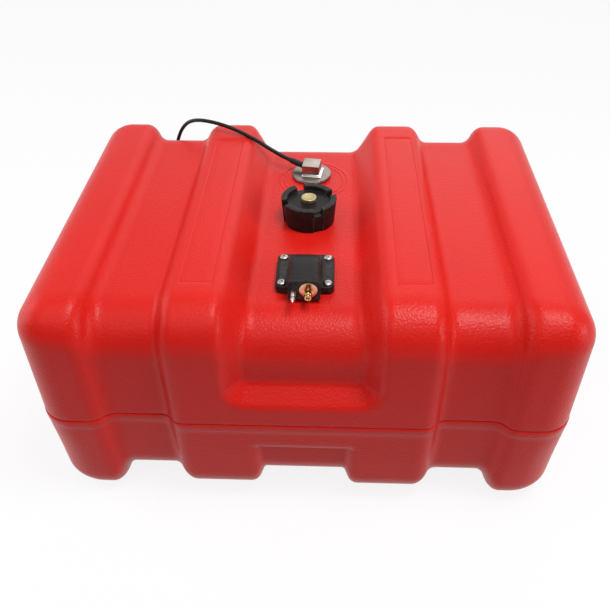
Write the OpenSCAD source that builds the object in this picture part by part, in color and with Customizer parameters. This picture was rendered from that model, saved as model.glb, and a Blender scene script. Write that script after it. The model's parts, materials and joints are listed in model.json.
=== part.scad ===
// Moulded inboard fuel tank with a screw filler cap, a fuel outlet fitting and a bonded earth lead.
// Millimetres. Z is up, the front of the tank faces -Y, and the origin is under its middle on the floor.

/* [Tank] */
// Width of the tank, side to side
tank_w = 575; // [560:1:620]
// Depth of the tank, front to back
tank_d = 436; // [425:1:480]
// Height of the tank at its ribs
tank_h = 280; // [276:1:310]
// Height of the seam between the two halves
seam_z = 135; // [126:1:145]
// Radius of the outer edges
edge_r = 37; // [34:0.5:40]
// Thickness of the moulded wall
wall = 5; // [3.5:0.1:5.5]
// How far each lower side draws in at the floor
lower_draft = 5; // [2:0.5:8]
// Height of the rounded shoulder under the seam
lip_h = 4; // [3:0.5:8]
// How far the lower half stands out at its shoulder
lip_out = 2.6; // [2:0.1:4]

/* [Strap grooves] */
// Distance of each strap groove from the middle
strap_x = 178.5; // [174:0.5:183]
// Width of the flat strap path
strap_floor = 49; // [44:1:56]
// Depth of the strap grooves on the top
strap_top = 17; // [15:0.5:20]
// Depth of the strap grooves on the front and back
strap_side = 13; // [11:0.5:16]
// Depth of the strap grooves underneath
strap_under = 25; // [22:0.5:28]
// Slope of the groove walls
strap_angle = 68; // [64:1:70]
// Radius at the rim of the groove
strap_rim_r = 18; // [16:0.5:18.5]
// Radius at the root of the groove
strap_root_r = 5; // [4:0.5:6]

/* [Centre channel] */
// Width of the flat channel floor
chan_floor = 98; // [94:1:104]
// Depth of the channel on the top
chan_depth = 30; // [27:0.5:32]
// Slope of the channel walls
chan_angle = 50; // [46:1:54]
// Radius at the channel rim
chan_rim_r = 18; // [15:0.5:20]
// Radius at the channel root
chan_root_r = 16; // [13:0.5:18]
// Half width of the recess on the front, at its rim
recess_half = 88; // [84:1:90]
// Depth of the recess on the front and back
recess_depth = 22; // [19:0.5:23]
// Height of the lower rim of the recess, at its ledge
recess_z = 158; // [153:1:163]
// Corner radius of the recess rim
recess_corner = 40; // [30:1:46]
// Slope of the recess walls
recess_angle = 60; // [55:1:64]
// Radius at the rim and the root of the recess
recess_r = 12; // [9:0.5:13]

/* [Feet] */
// How far the inner feet stop short of the corner feet
foot_rise = 8; // [5:0.5:11]
// Width of the notch between the inner feet
notch_floor = 87; // [82:1:94]
// Depth of the notch underneath, from the corner feet
notch_under = 26; // [23:0.5:28]
// Depth of the notch in the front and back
notch_side = 7; // [5:0.5:9]
// Height of the notch in the front and back
notch_z = 102; // [96:1:110]
// Slope of the notch walls
notch_angle = 65; // [60:1:70]
// Radius at the rim of the notch
notch_rim_r = 12; // [10:0.5:13]
// Radius at the root of the notch
notch_root_r = 5; // [4:0.5:7]
// Corner radius of the notch in the front and back
notch_corner = 12; // [8:0.5:16]

/* [Filler] */
// Place of the filler, front to back
filler_y = 5; // [0:1:10]
// Outer radius of the neck
neck_r = 24; // [22:0.5:24.5]
// Bore radius of the neck
neck_bore_r = 19.5; // [17:0.5:20]
// Height of the neck above the channel floor
neck_h = 20; // [18:0.5:22]
// Radius of the neck flange inside the tank
neck_flange_r = 34; // [29:0.5:36]
// Thickness of the neck flange
neck_flange_t = 3; // [2:0.5:5]
// Radius of the cap at its rim
cap_top_r = 32.5; // [31.5:0.5:34]
// Radius of the cap at its foot
cap_foot_r = 30; // [29.5:0.1:31]
// Height of the cap lugs above the deck
lug_h = 6; // [4:0.5:8]
// Width of the ring of lugs
lug_t = 7; // [5:0.5:9]
// Width of the gaps between the lugs
lug_gap = 9.5; // [7:0.5:12]
// Turn of the closed cap
cap_turn0 = 23; // [0:1:90]
// Thickness of the cap deck
deck_t = 3; // [2.5:0.5:4]
// Thickness of the cap gasket
cap_gasket_t = 2; // [1.5:0.5:3]
// Thickness of the cap skirt
skirt_t = 2; // [1.6:0.1:2.2]

/* [Vent screw] */
// Radius of the brass head
vent_head_r = 9; // [7.5:0.5:10]
// Thickness of the brass head
vent_head_t = 5; // [4:0.5:6]
// Radius of the screw shank
vent_shank_r = 3; // [2.5:0.25:3.5]
// Length of the screw shank under the seal
vent_shank_l = 17; // [14:1:19]
// Thickness of the vent seal
vent_seal_t = 1; // [0.8:0.1:1.5]

/* [Fuel outlet] */
// Place of the outlet, front to back
outlet_y = -107; // [-112:1:-98]
// Width of the outlet plate
plate_w = 62; // [60:1:68]
// Depth of the outlet plate
plate_d = 58; // [56:1:64]
// Thickness of the outlet plate
plate_t = 8; // [6:0.5:9]
// Corner radius of the outlet plate
plate_r = 7; // [5:0.5:8]
// Screw spacing across
screw_dx = 48; // [46:1:50]
// Screw spacing front to back
screw_dy = 44; // [42:1:46]
// Radius of the screw shank
screw_r = 2.1; // [1.8:0.1:2.5]
// Length of the screw shank
screw_l = 18; // [15:1:22]
// Radius of the screw head
screw_head_r = 4.4; // [3.8:0.1:4.8]
// Width of the trunk
trunk_w = 34; // [32:0.5:36]
// Height of the trunk over its foot
trunk_h = 27; // [26:0.5:30]
// Radius of the long upper edges of the trunk
trunk_corner = 7; // [5:0.5:9]
// Reach of the trunk in front of the plate centre
trunk_front = 43; // [42:1:50]
// Reach of the trunk behind the plate centre
trunk_back = 21; // [17:1:25]
// Length of the rounded slope at the back of the trunk
trunk_slope = 38; // [30:1:40]
// Height of the underside of the trunk over that of the plate
trunk_lift = 3; // [0:0.5:4]
// Sideways place of the nipple
nipple_x = 4.5; // [3:0.5:5]
// Height of the nipple over the channel floor
nipple_z = 16; // [15:0.5:17]
// Radius of the nipple stem
nipple_r = 3.7; // [3.5:0.1:4.2]
// Reach of the nipple past the trunk face
nipple_l = 12; // [10:0.5:14]
// Radius of the copper-coloured seat
seat_r = 10.3; // [9:0.1:10.5]
// Thickness of the seat
seat_t = 3.5; // [2:0.25:4]
// Depth of the seat pocket in the trunk face
seat_depth = 4; // [3.5:0.5:5]
// Radius of the check ball
ball_r = 2.2; // [1.8:0.1:2.3]
// Travel of the check ball
ball_travel = 3; // [2:0.5:4]
// Distance from the nipple to the guide pin
pin_gap = 15; // [14:0.5:15.5]
// Radius of the guide pin
pin_r = 2.5; // [2:0.1:3]
// Reach of the guide pin past the trunk face
pin_l = 20.5; // [17:0.5:23]
// Height of the guide pin over the nipple
pin_up = 1.5; // [-2:0.5:2]

/* [Pickup] */
// Outer radius of the pickup tube
pickup_r = 5; // [4:0.5:6]
// Bore radius of the pickup tube
pickup_bore_r = 3.5; // [2.5:0.25:3.75]
// Radius of the strainer
screen_r = 8.5; // [7.5:0.5:10]
// Height of the strainer
screen_h = 30; // [24:1:36]
// Gap between the strainer and the tank bottom
screen_gap = 4; // [2:0.5:8]

/* [Earth plate and lead] */
// Place of the steel disc, front to back
disc_y = 108; // [104:1:112]
// Radius of the steel disc
disc_r = 25; // [22:0.5:27]
// Thickness of the steel disc
disc_t = 3; // [2.5:0.25:4]
// Thickness of the rubber washer under the disc
disc_seal_t = 1.5; // [1:0.5:2]
// Side of the square clip
clip_w = 22; // [20:0.5:24]
// Height of the clip
clip_h = 13; // [12:0.5:14]
// Sheet thickness of the clip
clip_t = 1.6; // [1:0.1:1.8]
// Reach of the clip's foot in front
foot_front = 4.5; // [3:0.5:7]
// Reach of the clip's foot on the right
foot_side = 3.5; // [2:0.5:6]
// Sheet thickness of the foot
foot_t = 1; // [0.8:0.1:1.6]
// Turn of the clip on the disc
clip_turn = -8; // [-10:1:4]
// Radius of the earth stud
stud_r = 2.5; // [2:0.25:2.75]
// Radius of its hexagonal head, corner to middle
stud_head_r = 4.6; // [4:0.1:4.8]
// Length of the earth stud under its head
stud_l = 22; // [20:1:26]
// Radius of the lead
lead_r = 2.5; // [2.2:0.1:2.5]
// Radius of the sleeve on the lead
sleeve_r = 3.8; // [3.5:0.1:4]
// Turns of the stored coil in each of its two layers
coil_turns = 2; // [1:1:4]
// Radius of the coil where the lead joins it
coil_r = 33; // [31:1:36]
// Clear space between the turns of the coil
coil_space = 0.8; // [0.6:0.1:1.5]
// Thickness of the tie round the coil
tie_t = 0.8; // [0.6:0.1:0.8]
// Width of the tie
tie_w = 5; // [3:0.5:7]

/* [Hidden] */
$fn = 64;
tank_red = [0.82, 0.13, 0.11];
plastic_black = [0.09, 0.09, 0.09];
rubber_black = [0.15, 0.15, 0.15];
brass_yellow = [0.78, 0.6, 0.27];
copper_orange = [0.72, 0.4, 0.22];
steel_grey = [0.68, 0.69, 0.7];

// Clearances: a glued or pressed seat, a loose seat and a running fit, each on the radius
seat_c = 0.1;
loose_c = 0.35;
run_c = 0.05;
cut = 1;

// Core box that the rounded edges are swept round, and the height of the channel floor
core_x = tank_w / 2 - edge_r;
core_y = tank_d / 2 - edge_r;
core_lo = edge_r;
core_hi = tank_h - edge_r;
floor_z = tank_h - chan_depth;

// Depth of a wall that leaves a rim on one arc, runs straight at angle a and meets its root on another
function ramp_run(d, r1, r2, a) = (r1 + r2) * sin(a) + (d - (r1 + r2) * (1 - cos(a))) / tan(a);
function ramp(t, d, r1, r2, a) =
  let (run = ramp_run(d, r1, r2, a))
  t <= 0 ? 0 :
  t < r1 * sin(a) ? r1 - sqrt(r1 * r1 - t * t) :
  t < run - r2 * sin(a) ? r1 * (1 - cos(a)) + (t - r1 * sin(a)) * tan(a) :
  t < run ? d - r2 + sqrt(r2 * r2 - (run - t) * (run - t)) : d;
// Places across such a wall, from its rim to its root, with n1 and n2 facets on the two arcs
function ramp_steps(d, r1, r2, a, n1, n2) = concat(
  [for (k = [0:n1]) r1 * sin(a * k / n1)],
  [for (k = [n2:-1:0]) ramp_run(d, r1, r2, a) - r2 * sin(a * k / n2)]);
function clamp(v, lo, hi) = min(max(v, lo), hi);
function reverse(v) = [for (k = [len(v) - 1:-1:0]) v[k]];

strap_run = ramp_run(strap_top, strap_rim_r, strap_root_r, strap_angle);
chan_run = ramp_run(chan_depth, chan_rim_r, chan_root_r, chan_angle);
recess_run = ramp_run(recess_depth, recess_r, recess_r, recess_angle);
notch_run = ramp_run(notch_under - foot_rise, notch_rim_r, notch_root_r, notch_angle);

// Share of each groove's depth at x, on the outer wall or on a wall that lies t inside it
function strap_share(x, t) =
  ramp(strap_floor / 2 + strap_run - abs(abs(x) - strap_x), strap_top, strap_rim_r - t, strap_root_r + t,
    strap_angle) / strap_top;
function chan_share(x, t) =
  ramp(chan_floor / 2 + chan_run - abs(x), chan_depth, chan_rim_r - t, chan_root_r + t, chan_angle)
    / chan_depth;
function notch_share(d, t) =
  ramp(d, notch_under - foot_rise, notch_rim_r - t, notch_root_r + t, notch_angle)
    / (notch_under - foot_rise);
// Distance inside a rim with straight sides and round corners, from its sideways and lengthways distances
function rim_inside(dx, dz, r) =
  r - min(max(r - dx, r - dz), 0) - norm([max(r - dx, 0), max(r - dz, 0)]);

function top_depth(x, t) = strap_top * strap_share(x, t) + chan_depth * chan_share(x, t);
function under_depth(x, t) =
  abs(x) > strap_x ? strap_under * strap_share(x, t) :
  foot_rise + (strap_under - foot_rise) * strap_share(x, t)
    + (notch_under - foot_rise) * notch_share(notch_floor / 2 + notch_run - abs(x), t);
function side_depth(x, z, t) = strap_side * strap_share(x, t) + (z > seam_z ?
  ramp(rim_inside(recess_half - abs(x), z - recess_z, recess_corner), recess_depth, recess_r - t,
    recess_r + t, recess_angle) :
  notch_side * notch_share(rim_inside(notch_floor / 2 + notch_run - abs(x), notch_z - z, notch_corner), t));

// Heights between which the side walls keep their features, so that only the rest follows top and bottom
corner_top = max(recess_corner, recess_run + 8);
keep_hi = recess_z + corner_top + 2;
keep_lo = notch_z - notch_run - 2;
// How far the lower half stands out: a rounded shoulder under the seam, which fades out down to the floor
function lip(z) =
  let (d = seam_z - z)
  d <= 0 ? 0 :
  d < lip_h ? lip_out * sqrt(1 - pow(1 - d / lip_h, 2)) : lip_out * (seam_z - d) / (seam_z - lip_h);

// Point of the wall that lies t inside the outer skin, for a point p on the plain box round the tank
function wall_point(p, t) =
  let (
    c = [clamp(p.x, -core_x, core_x), clamp(p.y, -core_y, core_y), clamp(p.z, core_lo, core_hi)],
    n = (p - c) / norm(p - c),
    r = edge_r - t,
    x = c.x + r * n.x,
    side = side_depth(x, c.z, t),
    up = clamp((c.z - keep_hi) / (core_hi - keep_hi), 0, 1),
    down = clamp((keep_lo - c.z) / (keep_lo - core_lo), 0, 1),
    y = c.y * (1 - side / core_y) + r * n.y,
    z = c.z - top_depth(x, t) * up + under_depth(x, t) * down + r * n.z,
    draw = lower_draft * clamp((seam_z - z) / seam_z, 0, 1),
    out = t > 0 ? 0 : lip(p.z))
  [x * (1 - draw * 2 / tank_w) + out * n.x, y * (1 - draw * 2 / tank_d) + out * n.y, z];

// Grid lines on the plain box: across, front to back, and up each half for the outer and the inner skin
edge_facets = 3;
edge_steps = [for (k = [0:edge_facets]) edge_r * tan(45 * k / edge_facets)];
strap_steps = ramp_steps(strap_top, strap_rim_r, strap_root_r, strap_angle, 3, 1);
chan_steps = ramp_steps(chan_depth, chan_rim_r, chan_root_r, chan_angle, 2, 2);
notch_steps = ramp_steps(notch_under - foot_rise, notch_rim_r, notch_root_r, notch_angle, 2, 2);
recess_steps = ramp_steps(recess_depth, recess_r, recess_r, recess_angle, 2, 2);
strap_in = strap_x - strap_floor / 2 - strap_run;
strap_out = strap_x + strap_floor / 2 + strap_run;
function half_lines(rim, steps) = concat(
  [for (s = reverse(steps)) rim - s],
  [for (s = strap_steps) strap_in + s],
  [for (s = reverse(strap_steps)) strap_out - s],
  [for (s = edge_steps) core_x + s]);
function both_sides(v) = concat([for (s = reverse(v)) -s], v);
upper_x = both_sides(half_lines(chan_floor / 2 + chan_run, chan_steps));
lower_x = both_sides(half_lines(notch_floor / 2 + notch_run, notch_steps));
grid_y = both_sides([for (s = edge_steps) core_y + s]);
lip_steps = [for (a = [0:30:90]) lip_h * (1 - cos(a))];
ledge_steps = concat(recess_steps, [(recess_run + corner_top) / 2, corner_top]);
upper_z = concat([seam_z], [for (s = ledge_steps) recess_z + s], [for (s = edge_steps) core_hi + s]);
lower_z = concat([for (s = lip_steps) seam_z - s], [for (s = notch_steps) notch_z - s],
  [for (s = edge_steps) core_lo - s]);
lower_inner_z = concat([seam_z], [for (s = notch_steps) notch_z - s], [for (s = edge_steps) core_lo - s]);

// Point m of the loop round the box, walked from the front left corner along the front
function loop_xy(m, gx) =
  let (nx = len(gx) - 1, ny = len(grid_y) - 1)
  m < nx ? [gx[m], grid_y[0]] :
  m < nx + ny ? [gx[nx], grid_y[m - nx]] :
  m < 2 * nx + ny ? [gx[2 * nx + ny - m], grid_y[ny]] : [gx[0], grid_y[2 * (nx + ny) - m]];
function skin_points(gx, gz, t) =
  let (nx = len(gx) - 1, ny = len(grid_y) - 1, top = gz[len(gz) - 1])
  concat(
    [for (z = gz, m = [0:2 * (nx + ny) - 1]) wall_point(concat(loop_xy(m, gx), z), t)],
    [for (i = [1:nx - 1], j = [1:ny - 1]) wall_point([gx[i], grid_y[j], top], t)]);
// Number of the skin point at grid line i across and j deep on the closed end of a half
function lid_index(i, j, nx, ny, rings) =
  let (base = (rings - 1) * 2 * (nx + ny))
  j == 0 ? base + i :
  i == nx ? base + nx + j :
  j == ny ? base + 2 * nx + ny - i :
  i == 0 ? base + 2 * (nx + ny) - j : rings * 2 * (nx + ny) + (i - 1) * (ny - 1) + j - 1;
function quad(a, b, c, d, flip) = flip ? [[a, b, c], [a, c, d]] : [[a, c, b], [a, d, c]];
function skin_faces(gx, gz, first, flip) =
  let (nx = len(gx) - 1, ny = len(grid_y) - 1, loop = 2 * (nx + ny), rings = len(gz))
  concat(
    [for (k = [0:rings - 2], m = [0:loop - 1]) each
      quad(first + k * loop + m, first + k * loop + (m + 1) % loop, first + (k + 1) * loop + (m + 1) % loop,
        first + (k + 1) * loop + m, flip)],
    [for (i = [0:nx - 1], j = [0:ny - 1]) each
      quad(first + lid_index(i, j, nx, ny, rings), first + lid_index(i + 1, j, nx, ny, rings),
        first + lid_index(i + 1, j + 1, nx, ny, rings), first + lid_index(i, j + 1, nx, ny, rings), flip)]);
// One hollow half of the tank, lofted over its grid, with the flat rim at the seam between its two skins
module half_shell(gx, outer_z, inner_z, is_lower) {
  outer = skin_points(gx, outer_z, 0);
  inner = skin_points(gx, inner_z, wall);
  loop = 2 * (len(gx) + len(grid_y) - 2);
  rim = [for (m = [0:loop - 1]) each
    quad(m, len(outer) + m, len(outer) + (m + 1) % loop, (m + 1) % loop, is_lower)];
  polyhedron(concat(outer, inner), concat(skin_faces(gx, outer_z, 0, is_lower),
    skin_faces(gx, inner_z, len(outer), !is_lower), rim), convexity = 8);
}

// Heights and places of the fittings on the channel floor
neck_top = floor_z + neck_h;
deck_z = neck_top + cap_gasket_t;
deck_top = deck_z + deck_t;
cap_top = deck_top + lug_h;
cap_foot = floor_z + 0.6;
vent_boss_h = 0.5;
vent_boss_r = vent_head_r + 1;
vent_tube_r = vent_shank_r + 3;
vent_seal_z = deck_top + vent_boss_h;
vent_head_z = vent_seal_z + vent_seal_t;
vent_tip_z = vent_seal_z - vent_shank_l;
gasket_t = 1.5;
plate_z = floor_z + gasket_t;
plate_top = plate_z + plate_t;
trunk_top = plate_z + trunk_h;
trunk_face = outlet_y - trunk_front;
nipple_h = floor_z + nipple_z;
seat_y = trunk_face + seat_depth;
nipple_tip = trunk_face - nipple_l;
pin_h = nipple_h + pin_up;
flange_r = nipple_r + 2.5;
flange_t = 1.5;
land_gap = 0.3;
pin_shoulder = 0.6;
pickup_y = outlet_y;
pickup_seat = 8;
screen_z = wall + notch_under + screen_gap;
disc_z = floor_z + disc_seal_t;
disc_top = disc_z + disc_t;
lug_sheet = 1.2;
clip_reach = 8.5;
clip_y = disc_y + clip_w / 2 - clip_reach;

module upper_shell() color(tank_red) difference() {
  half_shell(upper_x, upper_z, upper_z, false);
  translate([0, filler_y, floor_z - wall - cut]) cylinder(r = neck_r + seat_c, h = wall + 2 * cut);
  translate([nipple_x, pickup_y, floor_z - wall - cut]) cylinder(r = pickup_r + 2, h = wall + 2 * cut);
  screw_places() translate([0, 0, floor_z - wall - cut]) cylinder(r = screw_r + run_c, h = wall + 2 * cut);
  translate([0, disc_y, floor_z - wall - cut]) cylinder(r = stud_r + seat_c, h = wall + 2 * cut);
}

module lower_shell() color(tank_red) half_shell(lower_x, lower_z, lower_inner_z, true);

// Neck with a flange that is welded under the channel floor
module filler_neck() color(tank_red) translate([0, filler_y, 0]) rotate_extrude() polygon([
  [neck_bore_r, floor_z - wall - neck_flange_t], [neck_flange_r, floor_z - wall - neck_flange_t],
  [neck_flange_r, floor_z - wall], [neck_r, floor_z - wall], [neck_r, neck_top], [neck_bore_r, neck_top]]);

// Screw cap: a tapered skirt, a collar that runs on the neck, a deck, and a ring cut into four lugs
module filler_cap() {
  collar_r = neck_r + loose_c;
  collar_t = 2.6;
  collar_foot = floor_z + 6;
  deck_skirt_r = cap_foot_r + (cap_top_r - cap_foot_r) * (deck_z - cap_foot) / (cap_top - cap_foot);
  gap_floor = deck_top - 2;
  strip_depth = 1.4;
  color(plastic_black) translate([0, filler_y, 0]) rotate(cap_turn0) difference() {
    rotate_extrude() polygon([
      [cap_foot_r - skirt_t, cap_foot], [cap_foot_r, cap_foot], [cap_top_r, cap_top - 1],
      [cap_top_r - 1, cap_top], [cap_top_r - lug_t, cap_top], [cap_top_r - lug_t - 0.6, deck_top],
      [vent_boss_r, deck_top],
      [vent_boss_r, vent_seal_z], [vent_shank_r + run_c, vent_seal_z], [vent_shank_r + run_c, vent_tip_z + 3],
      [vent_tube_r, vent_tip_z + 3], [vent_tube_r, deck_z], [collar_r, deck_z], [collar_r, collar_foot],
      [collar_r + collar_t, collar_foot], [collar_r + collar_t, deck_z], [deck_skirt_r - skirt_t, deck_z]]);
    for (a = [0:90:270]) rotate(a) {
      translate([cap_top_r - lug_t - cut, -lug_gap / 2, gap_floor])
        cube([lug_t + 2 * cut, lug_gap, lug_h + 4]);
      translate([cap_top_r - strip_depth, -lug_gap / 2, cap_foot - cut]) cube([4, lug_gap, cap_top]);
    }
  }
}

module cap_gasket() color(rubber_black) translate([0, filler_y, neck_top]) difference() {
  cylinder(r = neck_r, h = cap_gasket_t);
  translate([0, 0, -cut]) cylinder(r = neck_bore_r + 0.5, h = cap_gasket_t + 2 * cut);
}

module vent_screw() color(brass_yellow) translate([0, filler_y, 0]) rotate_extrude() polygon([
  [0, vent_tip_z], [vent_shank_r - 0.8, vent_tip_z], [vent_shank_r, vent_tip_z + 0.8],
  [vent_shank_r, vent_head_z], [vent_head_r, vent_head_z], [vent_head_r, vent_head_z + vent_head_t - 0.8],
  [vent_head_r - 0.8, vent_head_z + vent_head_t], [0, vent_head_z + vent_head_t]]);

module vent_seal() color(rubber_black) translate([0, filler_y, vent_seal_z]) difference() {
  cylinder(r = vent_head_r - 1.5, h = vent_seal_t);
  translate([0, 0, -cut]) cylinder(r = vent_shank_r + loose_c, h = vent_seal_t + 2 * cut);
}

// Plate outline with round corners
module plate_outline(w, d, r) {
  square([w - 2 * r, d], center = true);
  square([w, d - 2 * r], center = true);
  for (sx = [-1, 1], sy = [-1, 1]) translate([sx * (w / 2 - r), sy * (d / 2 - r)]) circle(r = r);
}
module screw_places() {
  for (sx = [-1, 1], sy = [-1, 1]) translate([sx * screw_dx / 2, outlet_y + sy * screw_dy / 2, 0]) children();
}
// Cylinder along +Y from y0 to y1, at x and z
module rod_y(r, x, z, y0, y1) translate([x, y0, z]) rotate([-90, 0, 0]) cylinder(r = r, h = y1 - y0);

// Trunk of the outlet: its cross-section cut to its side view, with a chamfered face and a rounded back
module trunk() {
  back_y = outlet_y + trunk_back;
  slope_y = back_y - trunk_slope;
  slope_steps = 6;
  chamfer = 1;
  intersection() {
    translate([0, back_y, plate_z]) rotate([90, 0, 0])
      linear_extrude(trunk_front + trunk_back) plate_outline(trunk_w, 2 * trunk_h, trunk_corner);
    translate([-trunk_w / 2, 0, 0]) rotate([90, 0, 90]) linear_extrude(trunk_w) polygon(concat(
      [[back_y, plate_z + trunk_lift], [trunk_face, plate_z + trunk_lift], [trunk_face, trunk_top - chamfer],
        [trunk_face + chamfer, trunk_top]],
      [for (k = [0:slope_steps]) let (a = 90 * k / slope_steps)
        [slope_y + trunk_slope * sin(a), plate_top + (trunk_top - plate_top) * cos(a)]]));
  }
}

// Outlet: a screwed plate, and a trunk with the fuel way, nipple pocket and pin hole in it
module outlet_body() color(plastic_black) difference() {
  union() {
    translate([0, outlet_y, plate_z]) linear_extrude(plate_t) plate_outline(plate_w, plate_d, plate_r);
    trunk();
  }
  rod_y(seat_r + seat_c, nipple_x, nipple_h, trunk_face - cut, seat_y);
  rod_y(nipple_r + seat_c, nipple_x, nipple_h, seat_y - cut, seat_y + 14);
  rod_y(pickup_bore_r, nipple_x, nipple_h, seat_y, pickup_y);
  translate([nipple_x, pickup_y, plate_z - cut]) cylinder(r = pickup_bore_r, h = nipple_h - plate_z + cut);
  translate([nipple_x, pickup_y, plate_z - cut]) cylinder(r = pickup_r + run_c, h = pickup_seat + cut);
  rod_y(pin_r - pin_shoulder + run_c, nipple_x - pin_gap, pin_h, trunk_face - cut, trunk_face + 12);
  screw_places() translate([0, 0, plate_z - cut]) cylinder(r = screw_r + loose_c, h = plate_t + 2 * cut);
}

module outlet_gasket() color(rubber_black) difference() {
  translate([0, outlet_y, floor_z]) linear_extrude(gasket_t) plate_outline(plate_w - 1, plate_d - 1, plate_r);
  translate([nipple_x, pickup_y, floor_z - cut]) cylinder(r = pickup_r + 1, h = gasket_t + 2 * cut);
  screw_places() translate([0, 0, floor_z - cut]) cylinder(r = screw_r + loose_c, h = gasket_t + 2 * cut);
}

module outlet_screws() color(steel_grey) screw_places() rotate_extrude() polygon([
  [0, plate_top - screw_l], [screw_r, plate_top - screw_l + 2 * screw_r], [screw_r, plate_top],
  [screw_head_r, plate_top], [screw_head_r, plate_top + 1.2], [screw_head_r * 0.75, plate_top + 2.3],
  [screw_head_r * 0.4, plate_top + 2.8], [0, plate_top + 2.9]]);

module nipple_seat() color(copper_orange) difference() {
  rod_y(seat_r, nipple_x, nipple_h, seat_y - seat_t, seat_y);
  rod_y(nipple_r + seat_c, nipple_x, nipple_h, seat_y - seat_t - cut, seat_y + cut);
  rod_y(flange_r + seat_c, nipple_x, nipple_h, seat_y - flange_t, seat_y + cut);
}

// Nipple: shank, flange under the seat, neck through the seat, and stem with a groove behind
// its end ring, bored for the ball, its seat lip and its spring
ball_bore_r = ball_r + run_c;
lip_r = ball_r * 0.68;
lip_t = 1.6;
ball_y = nipple_tip + lip_t + sqrt(ball_r * ball_r - lip_r * lip_r) + run_c;
spring_y0 = ball_y + ball_r + run_c;
spring_solid = 9;
spring_y1 = spring_y0 + spring_solid + ball_travel;
module outlet_nipple() {
  flange_y = seat_y - nipple_tip;
  groove_r = nipple_r - 0.7;
  neck_y = flange_y - seat_t - land_gap;
  nipple_neck_r = nipple_r - 0.2;
  color(brass_yellow) translate([nipple_x, nipple_tip, nipple_h]) rotate([-90, 0, 0])
    rotate_extrude() polygon([
      [lip_r, 0.6], [lip_r + 0.6, 0], [nipple_r - 0.5, 0], [nipple_r, 0.5], [nipple_r, 1.7], [groove_r, 2.4],
      [groove_r, 4], [nipple_r, 4.7], [nipple_r, neck_y], [nipple_neck_r, neck_y],
      [nipple_neck_r, flange_y - flange_t], [flange_r, flange_y - flange_t],
      [flange_r, flange_y], [nipple_r, flange_y], [nipple_r, flange_y + 13], [lip_r, flange_y + 13],
      [lip_r, spring_y1 - nipple_tip], [ball_bore_r, spring_y1 - nipple_tip], [ball_bore_r, lip_t],
      [lip_r, lip_t]]);
}

module check_ball() color(steel_grey) translate([nipple_x, ball_y, nipple_h]) sphere(r = ball_r);

module check_spring() color(steel_grey) difference() {
  rod_y(ball_r - 0.2, nipple_x, nipple_h, spring_y0, spring_y1);
  rod_y(ball_r - 0.8, nipple_x, nipple_h, spring_y0 - cut, spring_y1 + cut);
}

// Pointed pin whose shoulder stops it on the trunk face
module guide_pin() color(steel_grey) translate([nipple_x - pin_gap, trunk_face - pin_l, pin_h])
  rotate([-90, 0, 0]) rotate_extrude() polygon([[0, 0], [pin_r * 0.35, 0.4], [pin_r, 4.5], [pin_r, 7.5],
    [pin_r - 0.5, 8], [pin_r - 0.5, 9], [pin_r, 9.5], [pin_r, pin_l], [pin_r - pin_shoulder, pin_l],
    [pin_r - pin_shoulder, pin_l + 11], [0, pin_l + 11]]);

module pickup_tube() color(plastic_black) translate([nipple_x, pickup_y, screen_z + 10]) difference() {
  tube_l = plate_z + pickup_seat - screen_z - 10;
  cylinder(r = pickup_r, h = tube_l);
  translate([0, 0, -cut]) cylinder(r = pickup_bore_r, h = tube_l + 2 * cut);
}

// Strainer: a slotted cup pushed over the foot of the tube
module pickup_screen() {
  shell_t = 1.4;
  slot_w = 3;
  color(plastic_black) translate([nipple_x, pickup_y, screen_z]) difference() {
    cylinder(r = screen_r, h = screen_h);
    translate([0, 0, shell_t]) cylinder(r = screen_r - shell_t, h = screen_h - shell_t - 6);
    translate([0, 0, shell_t]) cylinder(r = pickup_r + run_c, h = screen_h);
    for (a = [0:60:300]) rotate(a) translate([pickup_r, -slot_w / 2, 4])
      cube([screen_r, slot_w, screen_h - 14]);
  }
}

// Disc with a shallow groove round its rim
module earth_plate() {
  lip = 0.8;
  groove = 0.7;
  hole_r = stud_r + seat_c;
  color(steel_grey) translate([0, disc_y, disc_z]) rotate_extrude() polygon([
    [hole_r, 0], [disc_r, 0], [disc_r, lip], [disc_r - groove, lip + groove],
    [disc_r - groove, disc_t - lip], [disc_r, disc_t - lip], [disc_r, disc_t - lip / 2],
    [disc_r - lip / 2, disc_t], [hole_r, disc_t]]);
}

module plate_seal() color(rubber_black) translate([0, disc_y, floor_z]) difference() {
  cylinder(r = disc_r - 1, h = disc_seal_t);
  translate([0, 0, -cut]) cylinder(r = stud_r + seat_c, h = disc_seal_t + 2 * cut);
}

// Folded clip that stands on the disc, open underneath and on its left for the lead, with a bent foot
module lead_clip() color(steel_grey) translate([0, clip_y, disc_top]) rotate(clip_turn) difference() {
  union() {
    translate([-clip_w / 2, -clip_w / 2, 0]) cube([clip_w, clip_w, clip_h]);
    translate([-clip_w / 2, -clip_w / 2 - foot_front, 0])
      cube([clip_w + foot_side, clip_w + foot_front, foot_t]);
  }
  translate([-clip_w / 2 - cut, -clip_w / 2 + clip_t, -cut])
    cube([clip_w - clip_t + cut, clip_w - 2 * clip_t, clip_h - clip_t + cut]);
}

// Bolt whose hexagonal head clamps the lug on the disc
module earth_stud() color(steel_grey) translate([0, disc_y, disc_top + lug_sheet]) {
  cylinder(r = stud_head_r, h = 4, $fn = 6);
  translate([0, 0, -stud_l]) cylinder(r = stud_r, h = stud_l);
}

module stud_nut() color(steel_grey) translate([0, disc_y, floor_z - wall]) difference() {
  union() {
    translate([0, 0, -1.5]) cylinder(r = 9, h = 1.5);
    translate([0, 0, -6.5]) cylinder(r = 5.8, h = 6, $fn = 6);
  }
  translate([0, 0, -10]) cylinder(r = stud_r + run_c, h = 12);
}

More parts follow.
